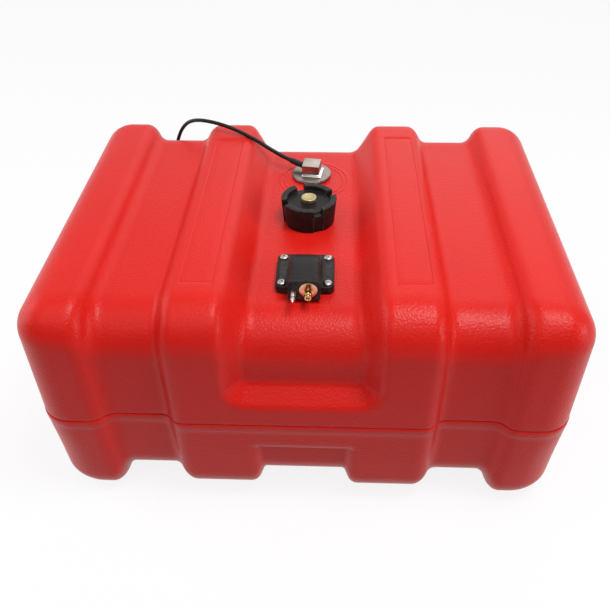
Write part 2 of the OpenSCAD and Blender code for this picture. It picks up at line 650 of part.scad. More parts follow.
// Lead: points along its middle, from the clip over the back edge and down to the coil behind the tank
sleeve_start = [-clip_w / 2 - 0.5, disc_y + 6, disc_top + 7];
sleeve_end = sleeve_start + [-17.5, 9, 3];
lead_points = [sleeve_end, [-40, 129, 267], [-57, 139, 272], [-74, 149, 278], [-95, 158, 285],
  [-116, 166, 290], [-137, 174, 292], [-156, 183, 290], [-171, 194, 282], [-182, 203, 270], [-190, 209, 256],
  [-196, 213, 240], [-199, 215, 222], [-200, 216, 200], [-200, 216, 160], [-200, 216, 120], [-200, 216, 80],
  [-200, 216, 50], [-200, 216, 34], [-200, 218, 21], [-200, 223, 11], [-200, 232, 5.6], [-200, 244, 3.6],
  [-200, 256, 3.6]];
lead_end = lead_points[len(lead_points) - 1];
function unit(v) = v / norm(v);
// Turn that takes +Z to the direction d
function turn_to(d) = let (a = unit(cross(d, [0, 0, 1])), b = cross(d, a))
  [[a.x, b.x, d.x, 0], [a.y, b.y, d.y, 0], [a.z, b.z, d.z, 0], [0, 0, 0, 1]];
sleeve_dir = unit(sleeve_end - sleeve_start);

// Smooth curve through a list of points, with steps places between each two
function spline(v, steps) = concat(
  [for (k = [0:len(v) - 2], s = [0:steps - 1])
    let (t = s / steps, a = v[max(k - 1, 0)], b = v[k], c = v[k + 1], d = v[min(k + 2, len(v) - 1)])
    0.5 * (2 * b + (c - a) * t + (2 * a - 5 * b + 4 * c - d) * t * t + (3 * b - a - 3 * c + d) * t * t * t)],
  [v[len(v) - 1]]);
// Sideways direction at each place of a path, carried along it without twist
function carried(dirs, a, k = 0) =
  k == len(dirs) ? [] :
  let (side = unit(a - (a * dirs[k]) * dirs[k])) concat([side], carried(dirs, side, k + 1));
// Tube of n sides along a path, square to first at its start and to last at its end
module tube(path, r, n, first, last) {
  count = len(path);
  dirs = [for (k = [0:count - 1]) k == 0 ? first : k == count - 1 ? last : unit(path[k + 1] - path[k - 1])];
  sides = carried(dirs, cross(first, [0, 0, 1]));
  rings = [for (k = [0:count - 1]) let (a = sides[k], b = cross(dirs[k], a))
    [for (s = [0:n - 1]) path[k] + r * (a * cos(360 * s / n) + b * sin(360 * s / n))]];
  points = [for (ring = rings, q = ring) q];
  faces = concat([[for (s = [0:n - 1]) s]], [[for (s = [n - 1:-1:0]) (count - 1) * n + s]],
    [for (k = [0:count - 2], s = [0:n - 1]) each
      quad(k * n + s, k * n + (s + 1) % n, (k + 1) * n + (s + 1) % n, (k + 1) * n + s, false)]);
  polyhedron(points, faces, convexity = 10);
}

// Crimped lug: a flat tongue under the bolt head, an upright tab and the barrel that the sleeve meets
module lead_lug() {
  tongue_w = 6;
  tongue_l = 9.5;
  ring_r = clip_reach - clip_t - 0.3;
  barrel_r = 2.6;
  barrel_l = 5;
  color(steel_grey) difference() {
    union() {
      translate([0, disc_y, disc_top]) cylinder(r = ring_r, h = lug_sheet);
      translate([-tongue_l, disc_y - tongue_w / 2, disc_top]) cube([tongue_l, tongue_w, lug_sheet]);
      translate([-tongue_l, disc_y - tongue_w / 2, disc_top])
        cube([lug_sheet, tongue_w + 4, sleeve_start.z - disc_top]);
      translate(sleeve_start - sleeve_dir * barrel_l) multmatrix(turn_to(sleeve_dir))
        cylinder(r = barrel_r, h = barrel_l);
    }
    translate([0, disc_y, disc_top - cut]) cylinder(r = stud_r + seat_c, h = lug_sheet + 2 * cut);
  }
}

module lead_sleeve() color(rubber_black)
  tube([sleeve_start, sleeve_end], sleeve_r, 12, sleeve_dir, sleeve_dir);

module earth_lead() color(plastic_black) tube(spline(lead_points, 3), lead_r, 8, sleeve_dir, [0, 1, 0]);

// Coil behind the tank: it spirals in on the floor, climbs a layer in half a turn and spirals out again
coil_pitch = 2 * lead_r + coil_space;
coil_in = coil_r - coil_pitch * coil_turns;
coil_lead_in = 2 * lead_r + 1;
coil_mid = [lead_end.x + coil_r, lead_end.y + coil_lead_in, lead_end.z];
coil_total = 2 * coil_turns + 0.25;
function ease(t) = let (u = clamp(t, 0, 1)) u * u * (3 - 2 * u);
function coil_radius(u) =
  u < coil_turns ? coil_r - coil_pitch * u :
  u < coil_turns + 0.5 ? coil_in - coil_pitch * min(u - coil_turns, coil_turns + 0.5 - u) :
  coil_in + coil_pitch * (u - coil_turns - 0.5);
function coil_point(u) = coil_mid + [-coil_radius(u) * cos(360 * u), coil_radius(u) * sin(360 * u),
  coil_pitch * ease(2 * (u - coil_turns))];
tail_l = 45;
tail_end = coil_point(coil_total) + [tail_l, 0, -coil_pitch];
function coil_path(per_turn) = concat([lead_end],
  [for (k = [0:per_turn * coil_total]) coil_point(k / per_turn)],
  [for (s = [2 * lead_r:2 * lead_r:tail_l])
    coil_point(coil_total) + [s, 0, -coil_pitch * ease((s - 8) / 30)]]);
// Least clear distance between stretches of the coil that are over a third of a turn apart
function coil_gap(path, skip) = min([for (i = [0:len(path) - 1], j = [i + skip:1:len(path) - 1])
  norm(path[i] - path[j])]) - 2 * lead_r;
module lead_coil() {
  echo(coil_least_gap = coil_gap(coil_path(48), 16));
  color(plastic_black) tube(coil_path(24), lead_r, 6, [0, 1, 0], [1, 0, 0]);
}

// Flat tie round the bundle of turns, on the side away from the lead's arrival
module coil_tie() {
  inner = coil_in - lead_r - 0.3;
  outer = coil_r - coil_pitch / 2 + lead_r + 0.3;
  low = coil_mid.z - lead_r - 0.2;
  high = coil_mid.z + coil_pitch + lead_r + 0.3;
  corner = 2;
  color(rubber_black) translate([coil_mid.x + (inner + outer) / 2, coil_mid.y + tie_w / 2, (low + high) / 2])
    rotate([90, 0, 0]) linear_extrude(tie_w) difference() {
      plate_outline(outer - inner + 2 * tie_t, high - low + 2 * tie_t, corner);
      plate_outline(outer - inner, high - low, corner - tie_t);
    }
}

// Ring terminal crimped on the far end of the lead
module ring_terminal() {
  barrel_l = 9;
  ring_r = 5;
  tongue_t = 1.2;
  color(steel_grey) translate(tail_end) difference() {
    union() {
      rotate([0, 90, 0]) cylinder(r = lead_r, h = barrel_l);
      translate([barrel_l - 2, -ring_r / 2, -tongue_t / 2]) cube([ring_r + 2, ring_r, tongue_t]);
      translate([barrel_l + ring_r, 0, -tongue_t / 2]) cylinder(r = ring_r, h = tongue_t);
    }
    translate([barrel_l + ring_r, 0, -lead_r]) cylinder(r = stud_r + seat_c, h = 2 * lead_r);
  }
}

upper_shell();
lower_shell();
filler_neck();
filler_cap();
cap_gasket();
vent_screw();
vent_seal();
outlet_body();
outlet_gasket();
outlet_screws();
nipple_seat();
outlet_nipple();
guide_pin();
check_ball();
check_spring();
pickup_tube();
pickup_screen();
earth_plate();
plate_seal();
lead_clip();
earth_stud();
stud_nut();
lead_lug();
lead_sleeve();
earth_lead();
lead_coil();
coil_tie();
ring_terminal();
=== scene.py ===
import json
from math import asin, ceil, cos, degrees, pi, radians, sin, tan

import bmesh
import bpy
import numpy as np
from mathutils import Matrix, Vector

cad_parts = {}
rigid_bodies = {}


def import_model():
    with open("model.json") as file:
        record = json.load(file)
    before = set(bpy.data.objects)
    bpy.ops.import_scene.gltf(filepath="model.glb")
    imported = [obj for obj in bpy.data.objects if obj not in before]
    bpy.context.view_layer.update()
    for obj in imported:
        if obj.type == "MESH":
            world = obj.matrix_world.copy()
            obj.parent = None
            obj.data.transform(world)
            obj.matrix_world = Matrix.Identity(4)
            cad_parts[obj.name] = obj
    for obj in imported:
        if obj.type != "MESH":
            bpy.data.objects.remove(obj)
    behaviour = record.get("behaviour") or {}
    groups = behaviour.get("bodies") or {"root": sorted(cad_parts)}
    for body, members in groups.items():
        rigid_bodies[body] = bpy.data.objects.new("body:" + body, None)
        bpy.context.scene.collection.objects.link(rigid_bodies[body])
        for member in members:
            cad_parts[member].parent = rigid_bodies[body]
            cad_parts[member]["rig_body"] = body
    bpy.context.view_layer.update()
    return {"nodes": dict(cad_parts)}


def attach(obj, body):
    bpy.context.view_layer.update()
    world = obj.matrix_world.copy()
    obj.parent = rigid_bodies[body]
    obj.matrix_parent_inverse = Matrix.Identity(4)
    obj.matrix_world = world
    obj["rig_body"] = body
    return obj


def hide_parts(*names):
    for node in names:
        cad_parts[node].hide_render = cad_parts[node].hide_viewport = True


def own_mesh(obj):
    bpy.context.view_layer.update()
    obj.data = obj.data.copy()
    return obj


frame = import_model()
mm = 0.001  # every size below is in millimetres, and every mesh in metres
print("stage: frame loaded")

# camera, fitted to the rims and edges of the tank in the photograph
photoCamera = {"place": (27.0, -707.0, 722.0), "pitch": 40.4, "yaw": -2.67, "roll": -0.76,
               "focalPixels": 710.0, "picturePixels": 610.0, "sensor": 36.0, "farMetres": 50}


def addObject(name, data):
    obj = bpy.data.objects.new(name, data)
    bpy.context.scene.collection.objects.link(obj)
    return obj


def placeCamera(c):
    pitch, yaw, roll = (radians(c[k]) for k in ("pitch", "yaw", "roll"))
    forward = Vector((sin(yaw) * cos(pitch), cos(yaw) * cos(pitch), -sin(pitch)))
    level = Vector((cos(yaw), -sin(yaw), 0))
    rise = level.cross(forward)
    right = cos(roll) * level + sin(roll) * rise
    up = cos(roll) * rise - sin(roll) * level
    lens = bpy.data.cameras.new("photoCamera")
    lens.sensor_width = c["sensor"]
    lens.lens = c["focalPixels"] * c["sensor"] / c["picturePixels"]
    lens.clip_end = c["farMetres"]
    camera = addObject("photoCamera", lens)
    turn = Matrix((right, up, -forward)).transposed().to_4x4()
    camera.matrix_world = Matrix.Translation(Vector(c["place"]) * mm) @ turn
    bpy.context.scene.camera = camera


placeCamera(photoCamera)


def linear(hexColour):  # sRGB hex to linear light
    parts = [int(hexColour[k:k + 2], 16) / 255 for k in (1, 3, 5)]
    return tuple(p / 12.92 if p <= 0.04045 else ((p + 0.055) / 1.055) ** 2.4 for p in parts) + (1.0,)


def addNode(tree, kind, inputs=None, links=None, **settings):
    node = tree.nodes.new("ShaderNode" + kind)
    for name, value in settings.items():
        setattr(node, name, value)
    for name, value in (inputs or {}).items():
        node.inputs[name].default_value = value
    for name, source in (links or {}).items():
        tree.links.new(source, node.inputs[name])
    return node


def newMaterial(name, inputs):
    material = bpy.data.materials.new(name)
    material.use_nodes = True
    tree = material.node_tree
    shader = tree.nodes["Principled BSDF"]
    for key, value in inputs.items():
        shader.inputs[key].default_value = value
    return material, tree, shader


def perMetre(size):  # pattern scale from its size in mm
    return 1000 / size


def dress(tree, shader, look, tone, marks):
    # two tones that follow one pattern, and a gloss and a relief that follow the other
    colour = addNode(tree, "Mix", {6: linear(look["dull"]), 7: linear(look["colour"])}, {0: tone},
                     data_type="RGBA")
    gloss = addNode(tree, "MapRange", {"To Min": look["gloss"][0], "To Max": look["gloss"][1]},
                    {"Value": marks})
    skin = addNode(tree, "Bump", {"Strength": look["relief"], "Distance": look["deep"] * mm},
                   {"Height": marks})
    tree.links.new(colour.outputs[2], shader.inputs["Base Color"])
    tree.links.new(gloss.outputs["Result"], shader.inputs["Roughness"])
    tree.links.new(skin.outputs["Normal"], shader.inputs["Normal"])
    return skin


def makePolyethylene():
    # red polyethylene, moulded in a grained tool: a soft orange-peel skin with a satin gloss
    look = {"colour": "#e3231b", "dull": "#da1f18", "mottle": 70, "gloss": (0.25, 0.38),
            "grain": 1.1, "relief": 0.5, "deep": 0.15, "peel": 2.2, "peelRelief": 0.75, "peelDeep": 0.6}
    material, tree, shader = newMaterial("mouldedPolyethylene", {"IOR": 1.51, "Specular IOR Level": 0.2})
    place = {"Vector": addNode(tree, "TexCoord").outputs["Object"]}
    mottle = addNode(tree, "TexNoise", {"Scale": perMetre(look["mottle"]), "Detail": 3.0}, place)
    grain = addNode(tree, "TexNoise", {"Scale": perMetre(look["grain"]), "Detail": 2.0}, place)
    peel = addNode(tree, "TexNoise", {"Scale": perMetre(look["peel"]), "Detail": 1.0}, place)
    fine = dress(tree, shader, look, mottle.outputs["Fac"], grain.outputs["Fac"])
    skin = addNode(tree, "Bump", {"Strength": look["peelRelief"], "Distance": look["peelDeep"] * mm},
                   {"Height": peel.outputs["Fac"], "Normal": fine.outputs["Normal"]})
    tree.links.new(skin.outputs["Normal"], shader.inputs["Normal"])
    return material


def makeNylon():
    # black glass-filled nylon, injection moulded: a fine spark-eroded grain
    # dull is its own tone, and colour the pale one, which is laid in patches on sharply turned convex edges
    look = {"colour": "#524c4a", "dull": "#151212", "gloss": (0.34, 0.52), "grain": 0.9, "relief": 0.4,
            "deep": 0.15, "paleSpots": 6, "paleShare": (0.15, 0.8)}
    material, tree, shader = newMaterial("mouldedNylon", {"IOR": 1.53, "Specular IOR Level": 0.15})
    place = {"Vector": addNode(tree, "TexCoord").outputs["Object"]}
    grain = addNode(tree, "TexNoise", {"Scale": perMetre(look["grain"]), "Detail": 3.0}, place)
    patches = addNode(tree, "TexNoise", {"Scale": perMetre(look["paleSpots"]), "Detail": 4.0}, place)
    paleEdge = addNode(tree, "Attribute", attribute_name="convexPaling")
    least, most = look["paleShare"]
    patchy = addNode(tree, "MapRange", {"From Min": 0.3, "From Max": 0.7, "To Min": least, "To Max": most},
                     {"Value": patches.outputs["Fac"]})
    share = addNode(tree, "Math", {}, {0: paleEdge.outputs["Fac"], 1: patchy.outputs["Result"]},
                    operation="MULTIPLY")
    dress(tree, shader, look, share.outputs["Value"], grain.outputs["Fac"])
    return material


def makeMarked(name, inputs, look):
    # a surface with the marks of its making; its tones come in patches, or else along the marks
    material, tree, shader = newMaterial(name, inputs)
    place = {"Vector": addNode(tree, "TexCoord").outputs["Object"]}
    scales = [perMetre(size) for size in look.get("marks", (0.8, 0.8, 0.8))]
    drawn = addNode(tree, "Mapping", {"Scale": scales}, place)
    marks = addNode(tree, "TexNoise", {"Scale": 1.0, "Detail": 3.0},
                    {"Vector": drawn.outputs["Vector"]})
    tone = marks
    if "patch" in look:
        tone = addNode(tree, "TexNoise", {"Scale": perMetre(look["patch"]), "Detail": 4.0}, place)
    dress(tree, shader, look, tone.outputs["Fac"], marks.outputs["Fac"])
    return material


def makeMetal(name, look):  # bare or plated
    return makeMarked(name, {"Metallic": 1.0}, {"deep": 0.1, **look})


def makeRubber(name, look):  # soft black goods
    return makeMarked(name, {"IOR": 1.5, "Specular IOR Level": 0.3}, {"deep": 0.15, **look})


materials = {"tank_red": makePolyethylene(), "moulded_black": makeNylon()}
# brass turned on a lathe, then handled: a matt face with faint rings and patches of tarnish
materials["brass"] = makeMetal("turnedBrass", {
    "colour": "#cfc09a", "dull": "#a8925f", "patch": 2.2, "gloss": (0.38, 0.58), "relief": 0.15})
# the nipple's brass, kept bright by the connector
materials["polished_brass"] = makeMetal("polishedBrass", {
    "colour": "#e2c88c", "dull": "#b8924a", "patch": 3, "gloss": (0.1, 0.2), "relief": 0.05})
# copper alloy washer, faced and polished where the connector rubs
materials["copper_seat"] = makeMetal("turnedCopper", {
    "colour": "#eeb79c", "dull": "#d8987a", "patch": 3, "gloss": (0.18, 0.3), "relief": 0.04})
# bright zinc plate on steel: cloudy, with a soft shine
materials["plated_steel"] = makeMetal("zincPlatedSteel", {
    "colour": "#cfccc6", "dull": "#98958f", "patch": 2.5, "gloss": (0.18, 0.36), "relief": 0.08})
# the disc's stainless sheet: the clip's stainless, darkened as painted shade
materials["plate_painted_shade"] = makeMetal("stainlessPaintedShade", {
    "colour": "#a1968e", "dull": "#7d746c", "patch": 8, "gloss": (0.26, 0.44), "relief": 0.06})
# the clip's foot: nearly a mirror, its colour raised to pure white as a painted highlight
materials["burnished_foot"] = makeMetal("stainlessPaintedHighlight", {
    "colour": "#ffffff", "dull": "#e6e4e2", "patch": 8, "gloss": (0.1, 0.2), "relief": 0.02})
# stainless sheet brushed side to side: long fine streaks, drawn 0.7 mm wide so that they show
materials["brushed_plate"] = makeMetal("brushedStainless", {
    "colour": "#c2b8b0", "dull": "#948b83", "patch": 8, "gloss": (0.24, 0.42), "relief": 0.15,
    "marks": (30, 0.7, 0.7)})
# tinned copper, crimped: dull silver
materials["tinned_lug"] = makeMetal("tinnedCopper", {
    "colour": "#c9c9c4", "dull": "#9b9a93", "patch": 2, "gloss": (0.3, 0.5), "relief": 0.12})
# nitrile rubber, moulded: matt, a fine dusty grain
materials["seal_rubber"] = makeRubber("nitrileRubber", {
    "colour": "#1b1b1c", "dull": "#262627", "gloss": (0.6, 0.8), "relief": 0.25})
# heat-shrink tube: satin, faintly wrinkled round the lead
materials["sleeve_rubber"] = makeRubber("shrunkPolyolefin", {
    "colour": "#151516", "dull": "#202022", "gloss": (0.42, 0.6), "relief": 0.3, "marks": (2, 5, 5)})
# extruded vinyl insulation: an even satin with faint patches
materials["lead_black"] = makeRubber("extrudedVinyl", {
    "colour": "#121213", "dull": "#1c1c1e", "gloss": (0.36, 0.5), "relief": 0.1, "marks": (3, 3, 3)})
# moulded nylon tie: smooth with a dull grain
materials["tie_black"] = makeRubber("mouldedTieNylon", {
    "colour": "#1d1d1f", "dull": "#29292b", "gloss": (0.4, 0.55), "relief": 0.15})
print("stage: materials made")


def finishPiece(obj, slotName, node, body="tank", sharp=38, finish=None):
    mesh = obj.data
    mesh.materials.clear()
    mesh.materials.append(materials[finish or slotName])
    mesh.shade_smooth()
    mesh.set_sharp_from_angle(angle=radians(sharp))
    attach(obj, body)
    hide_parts(node)
    return obj


def makeObject(name, points, faces):
    mesh = bpy.data.meshes.new(name)
    mesh.from_pydata((np.asarray(points, float) * mm).tolist(), [], faces)
    obj = addObject(name, mesh)
    bm = bmesh.new()
    bm.from_mesh(mesh)
    bmesh.ops.recalc_face_normals(bm, faces=bm.faces)
    bm.to_mesh(mesh)
    bm.free()
    return obj


def lathe(profile, around=64, closed=False, knurls=0):
    # rings of a profile of (radius, height) round Z; a third number is the depth of a knurl there
    points, rings, faces = [], [], []
    for r, h, *knurl in profile:
        if r < 1e-6:  # a point on the axis
            rings.append([len(points)] * around)
            points.append((0, 0, h))
            continue
        rings.append(list(range(len(points), len(points) + around)))
        depth = knurl[0] if knurl else 0
        for k in range(around):
            a = 2 * pi * k / around
            rk = r - depth * (0.5 - 0.5 * cos(a * knurls))
            points.append((rk * cos(a), rk * sin(a), h))
    pairs = list(zip(rings, rings[1:])) + ([(rings[-1], rings[0])] if closed else [])
    for low, high in pairs:
        for k in range(around):
            j = (k + 1) % around
            ids = [low[k], low[j], high[j], high[k]]
            face = [v for n, v in enumerate(ids) if v not in ids[:n]]
            if len(face) > 2:
                faces.append(face)
    return points, faces


def strips(count, loops, ring=False):
    # faces between loops of count points each; in a ring the last loop joins the first
    faces = []
    for k in range(loops if ring else loops - 1):
        low, high = k * count, (k + 1) % loops * count
        for s in range(count):
            j = (s + 1) % count
            faces.append([low + s, low + j, high + j, high + s])
    return faces


def loft(loops):
    # closed loops of equal length joined in order, with both ends capped
    count = len(loops[0])
    points = [p for loop in loops for p in loop]
    last = len(points) - count
    return points, strips(count, len(loops)) + [list(range(count)), list(range(last, last + count))]


def softCorners(points, radius, steps=3, closed=False):
    # rounds the corners of a profile: each is replaced by a short curve
    points = [np.asarray(p, float) for p in points]
    count, out = len(points), []
    for k, p in enumerate(points):
        if not closed and k in (0, count - 1):
            out.append(tuple(p))
            continue
        before, after = points[k - 1] - p, points[(k + 1) % count] - p
        reach = [min(radius, 0.45 * np.linalg.norm(v)) / np.linalg.norm(v) for v in (before, after)]
        a, b = p + before * reach[0], p + after * reach[1]
        for t in np.linspace(0, 1, steps + 1):
            out.append(tuple((1 - t) ** 2 * a + 2 * t * (1 - t) * p + t * t * b))
    return out


def turned(points, place, axis):
    # takes a lathed piece from Z at the origin to an axis at a place
    turn = np.array(Vector((0, 0, 1)).rotation_difference(Vector(axis)).to_matrix())
    return np.asarray(points, float) @ turn.T + np.asarray(place, float)


def turnedPiece(name, c, place, axis, slotName, node, finish=None):
    # a lathed piece with soft corners, set on its axis at its place
    closed = not c.get("open")
    profile = softCorners(c["profile"], c["soft"], c["steps"], closed)
    points, faces = lathe(profile, c["around"], closed)
    return finishPiece(makeObject(name, turned(points, place, axis), faces), slotName, node, finish=finish)


def roundRect(w, d, r, steps=6):
    # outline of a rectangle with round corners, about its middle
    x, y, out = w / 2 - r, d / 2 - r, []
    for cx, cy, start in ((x, y, 0), (-x, y, 90), (-x, -y, 180), (x, -y, 270)):
        for k in range(steps + 1):
            a = radians(start + 90 * k / steps)
            out.append((cx + r * cos(a), cy + r * sin(a)))
    return out


def swapMesh(obj):
    # keeps what the modifiers make as the piece's own mesh
    bpy.context.view_layer.update()
    made = bpy.data.meshes.new_from_object(obj.evaluated_get(bpy.context.evaluated_depsgraph_get()))
    made.name = obj.name
    obj.modifiers.clear()
    obj.data = made


def cutWith(obj, cutter, operation="DIFFERENCE"):
    # applies a boolean with the exact solver, and removes the cutter
    change = obj.modifiers.new("cut", "BOOLEAN")
    change.operation, change.object, change.solver = operation, cutter, "EXACT"
    swapMesh(obj)
    bpy.data.objects.remove(cutter)


def joined(parts):
    # several (points, faces) as one
    points, faces = [], []
    for p, f in parts:
        faces += [[v + len(points) for v in face] for face in f]
        points += [tuple(q) for q in p]
    return points, faces


def softened(node, name, slotName, radius, segments=2):
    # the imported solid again, its flat faces merged and its edges rounded
    source = frame["nodes"][node]
    obj = addObject(name, source.data.copy())
    bm = bmesh.new()
    bm.from_mesh(obj.data)
    bmesh.ops.remove_doubles(bm, verts=bm.verts, dist=1e-6)
    bmesh.ops.dissolve_limit(bm, angle_limit=radians(1), verts=bm.verts, edges=bm.edges)
    bmesh.ops.recalc_face_normals(bm, faces=bm.faces)
    bm.to_mesh(obj.data)
    bm.free()
    edges = obj.modifiers.new("softEdges", "BEVEL")
    edges.width, edges.segments = radius * mm, segments
    edges.limit_method, edges.angle_limit = "ANGLE", radians(40)
    swapMesh(obj)
    return finishPiece(obj, slotName, node, source["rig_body"])


def markEdges(obj, full):
    # how sharply each vertex stands out, from the turn of the faces beside it, up to full degrees; the nylon
    # is paler there
    bm = bmesh.new()
    bm.from_mesh(obj.data)
    paleEdge = np.zeros(len(bm.verts))
    for e in bm.edges:
        if len(e.link_faces) == 2 and e.is_convex:
            turn = degrees(e.calc_face_angle(0)) / full
            for v in e.verts:
                paleEdge[v.index] = max(paleEdge[v.index], min(turn, 1))
    bm.free()
    obj.data.attributes.new("convexPaling", "FLOAT", "POINT").data.foreach_set("value", paleEdge.astype(np.float32))


def smoothStep(v, low, high):
    u = np.clip((v - low) / (high - low), 0, 1)
    return u * u * (3 - 2 * u)


# lead: from the clip over the back edge, down the strap groove to a tied coil behind the tank
lead = {"radius": 2.5, "start": (-11.5, 114, 261.5), "sleeveEnd": (-29, 123, 264.5),
        "route": [(-40, 129, 267), (-57, 139, 272), (-74, 149, 278), (-95, 158, 285), (-116, 166, 290),
                  (-137, 174, 292), (-156, 183, 290), (-171, 194, 282), (-182, 203, 270), (-190, 209, 256),
                  (-196, 213, 240), (-199, 215, 222), (-200, 216, 200), (-200, 216, 160), (-200, 216, 120),
                  (-200, 216, 80), (-200, 216, 50), (-200, 216, 34), (-200, 218, 21), (-200, 223, 11),
                  (-200, 232, 5.6), (-200, 244, 3.6), (-200, 256, 3.6)],
        "routeSteps": 4, "coilRadius": 33, "coilPitch": 5.8, "coilTurns": 2, "leadIn": 6, "perTurn": 48,
        "lastTurn": 0.25, "tail": 45, "tailStep": 5, "tailDrop": (8, 38), "roundness": 5}


def throughPoints(points, steps):  # smooth curve through the points
    v = np.asarray(points, float)
    out = []
    for k in range(len(v) - 1):
        a, b, c, d = v[max(k - 1, 0)], v[k], v[k + 1], v[min(k + 2, len(v) - 1)]
        for t in np.arange(steps) / steps:
            bend = (2 * a - 5 * b + 4 * c - d) * t ** 2 + (3 * b - a - 3 * c + d) * t ** 3
            out.append(0.5 * (2 * b + (c - a) * t + bend))
    return out + [v[-1]]


def leadPath(c):
    # the route, a flat coil wound inwards and then out again on top, and a tail that comes down beside it
    middle = np.asarray(c["route"][-1], float) + (c["coilRadius"], c["leadIn"], 0)
    turns, pitch = c["coilTurns"], c["coilPitch"]
    inner = c["coilRadius"] - pitch * turns
    path = [np.asarray(c["start"], float)] + throughPoints([c["sleeveEnd"]] + c["route"], c["routeSteps"])
    for k in range(int(c["perTurn"] * (2 * turns + c["lastTurn"])) + 1):
        u = k / c["perTurn"]
        if u < turns:
            r = c["coilRadius"] - pitch * u
        elif u < turns + 0.5:  # half a turn to climb on to the second layer
            r = inner - pitch * min(u - turns, turns + 0.5 - u)
        else:
            r = inner + pitch * (u - turns - 0.5)
        a = 2 * pi * u
        path.append(middle + (-r * cos(a), r * sin(a), pitch * smoothStep(u, turns, turns + 0.5)))
    last = path[-1]
    for s in np.arange(c["tailStep"], c["tail"] + 1, c["tailStep"]):
        path.append(last + (s, 0, -pitch * smoothStep(s, *c["tailDrop"])))
    return np.array(path), middle


path, coilMiddle = leadPath(lead)
wire = bpy.data.curves.new("earthLead", "CURVE")
wire.dimensions, wire.use_fill_caps = "3D", True
wire.bevel_depth, wire.bevel_resolution = lead["radius"] * mm, lead["roundness"]
line = wire.splines.new("POLY")
line.points.add(len(path) - 1)
for point, spot in zip(line.points, path):
    point.co = (*(spot * mm), 1)
line.use_smooth = True
earthLead = addObject("earthLead", wire)
wire.materials.append(materials["lead_black"])
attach(earthLead, "tank")
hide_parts("earth_lead", "lead_coil")

# shrunk sleeve, which tapers on to the lead as a strain relief
sleeve = {"radius": 3.8, "end": 2.85, "bore": 2.5, "taper": (0.78, 0.9), "flare": 0.25,
          "soft": 1.2, "steps": 4, "around": 40}
sleeveAxis = np.subtract(lead["sleeveEnd"], lead["start"])
sleeveLong = float(np.linalg.norm(sleeveAxis))
r, end, bore = sleeve["radius"], sleeve["end"], sleeve["bore"]
sleeve["profile"] = [(bore, 0), (r, 0), (r, sleeve["taper"][0] * sleeveLong),
                     (end + sleeve["flare"], sleeve["taper"][1] * sleeveLong), (end, sleeveLong),
                     (bore, sleeveLong)]
leadSleeve = turnedPiece("leadSleeve", sleeve, lead["start"], sleeveAxis, "sleeve_rubber", "lead_sleeve")

# tie: a band round the bundle with its lock on top
tie = {"thick": 0.8, "wide": 5, "gap": 0.3, "under": 0.2, "corners": (1.2, 2), "soft": 0.3,
       "lock": (7.0, 6.4), "lockCorner": 1.0, "lockAside": 0.18,
       "lockRise": ((0.2, 0.96), (0.5, 1), (2.8, 1), (3.2, 0.95), (3.4, 0.86))}
tieInner = lead["coilRadius"] - lead["coilPitch"] * lead["coilTurns"] - lead["radius"] - tie["gap"]
tieOuter = lead["coilRadius"] - lead["coilPitch"] / 2 + lead["radius"] + tie["gap"]
tieLow = coilMiddle[2] - lead["radius"] - tie["under"]
tieHigh = coilMiddle[2] + lead["coilPitch"] + lead["radius"] + tie["gap"]
tieMiddle = np.array([coilMiddle[0] + (tieInner + tieOuter) / 2, coilMiddle[1], (tieLow + tieHigh) / 2])
w, h, half = tieOuter - tieInner, tieHigh - tieLow, tie["wide"] / 2
bandIn = roundRect(w, h, tie["corners"][0])
bandOut = roundRect(w + 2 * tie["thick"], h + 2 * tie["thick"], tie["corners"][1])
section = softCorners([(-half, 0), (half, 0), (half, 1), (-half, 1)], tie["soft"], 2, True)
loops = [[(i[0] + (o[0] - i[0]) * f, y, i[1] + (o[1] - i[1]) * f) for y, f in section]
         for i, o in zip(bandIn, bandOut)]
band = [p for loop in loops for p in loop], strips(len(section), len(loops), True)
lockOutline = roundRect(*tie["lock"], tie["lockCorner"], 3)
lock = loft([[(x * f + w * tie["lockAside"], y * f, h / 2 + z) for x, y in lockOutline]
             for z, f in tie["lockRise"]])
points, faces = joined([band, lock])
coilTie = makeObject("coilTie", np.asarray(points) + tieMiddle, faces)
finishPiece(coilTie, "tie_black", "coil_tie")
ringTerminal = softened("ring_terminal", "ringTerminal", "tinned_lug", 0.3)

# tank: two halves lofted over a fine grid; each groove has a rim arc, a straight slope and a root arc
tank = {"wide": 575, "deep": 436, "high": 280, "seam": 135, "edge": 37, "wall": 5, "draft": 5,
        "topRoll": (50, 47), "rollAcross": (200, 268), "rollDeep": 100, "rollRise": 10,
        "footRoll": (46, 37, 38), "footFade": 60, "lip": 0.8, "lipHigh": 2, "lipCurve": 1.6,
        "step": 9.5, "stepDeep": 0.35, "stepHigh": 1, "crease": 0.8, "creaseHigh": 1.8}
strap = {"x": 178.5, "top": 17, "side": 13, "under": 25}
strapOuter = {"floor": 22, "angle": 58, "rim": 18, "root": 18}
strapInner = {"floor": 24.5, "angle": 66, "rim": 18, "root": 13}
channel = {"floor": 98, "depth": 30, "angle": 50, "rim": 18, "root": 16}
recess = {"half": 88, "depth": 19, "low": 158, "corner": 31, "angle": 44, "rim": 12, "root": 12}
notch = {"rise": 8, "floor": 87, "under": 26, "side": 9, "high": 106, "corner": 12, "angle": 65, "rim": 12,
         "root": 5}
panels = {"reach": (0, 1.2, 2.4), "depths": (0, 0.75, 0.4),
          "boxes": [(-126, -91, -156, 146), (93.5, 130.5, -155, 156)]}
rings = {"middle": (3.5, 97), "radii": (43, 37.5), "wide": 4.4, "high": 0.5, "sunk": 1.5, "around": 160}
grid = {"across": 8, "deep": 9, "high": 7, "inside": 12, "fine": 3, "fineAcross": (40, 90),
        "overSeam": (0, 0.25, 0.5, 0.75, 1),
        "underSeam": (0, 0.1, 0.3, 0.6, 1, 1.5, 2.2, 3, 4, 9.5, 10, 10.5)}
hair = 0.01  # keeps a test clear of the plane that it asks about


def rampRun(depth, c):
    a, arcs = radians(c["angle"]), c["rim"] + c["root"]
    return arcs * sin(a) + (depth - arcs * (1 - cos(a))) / tan(a)


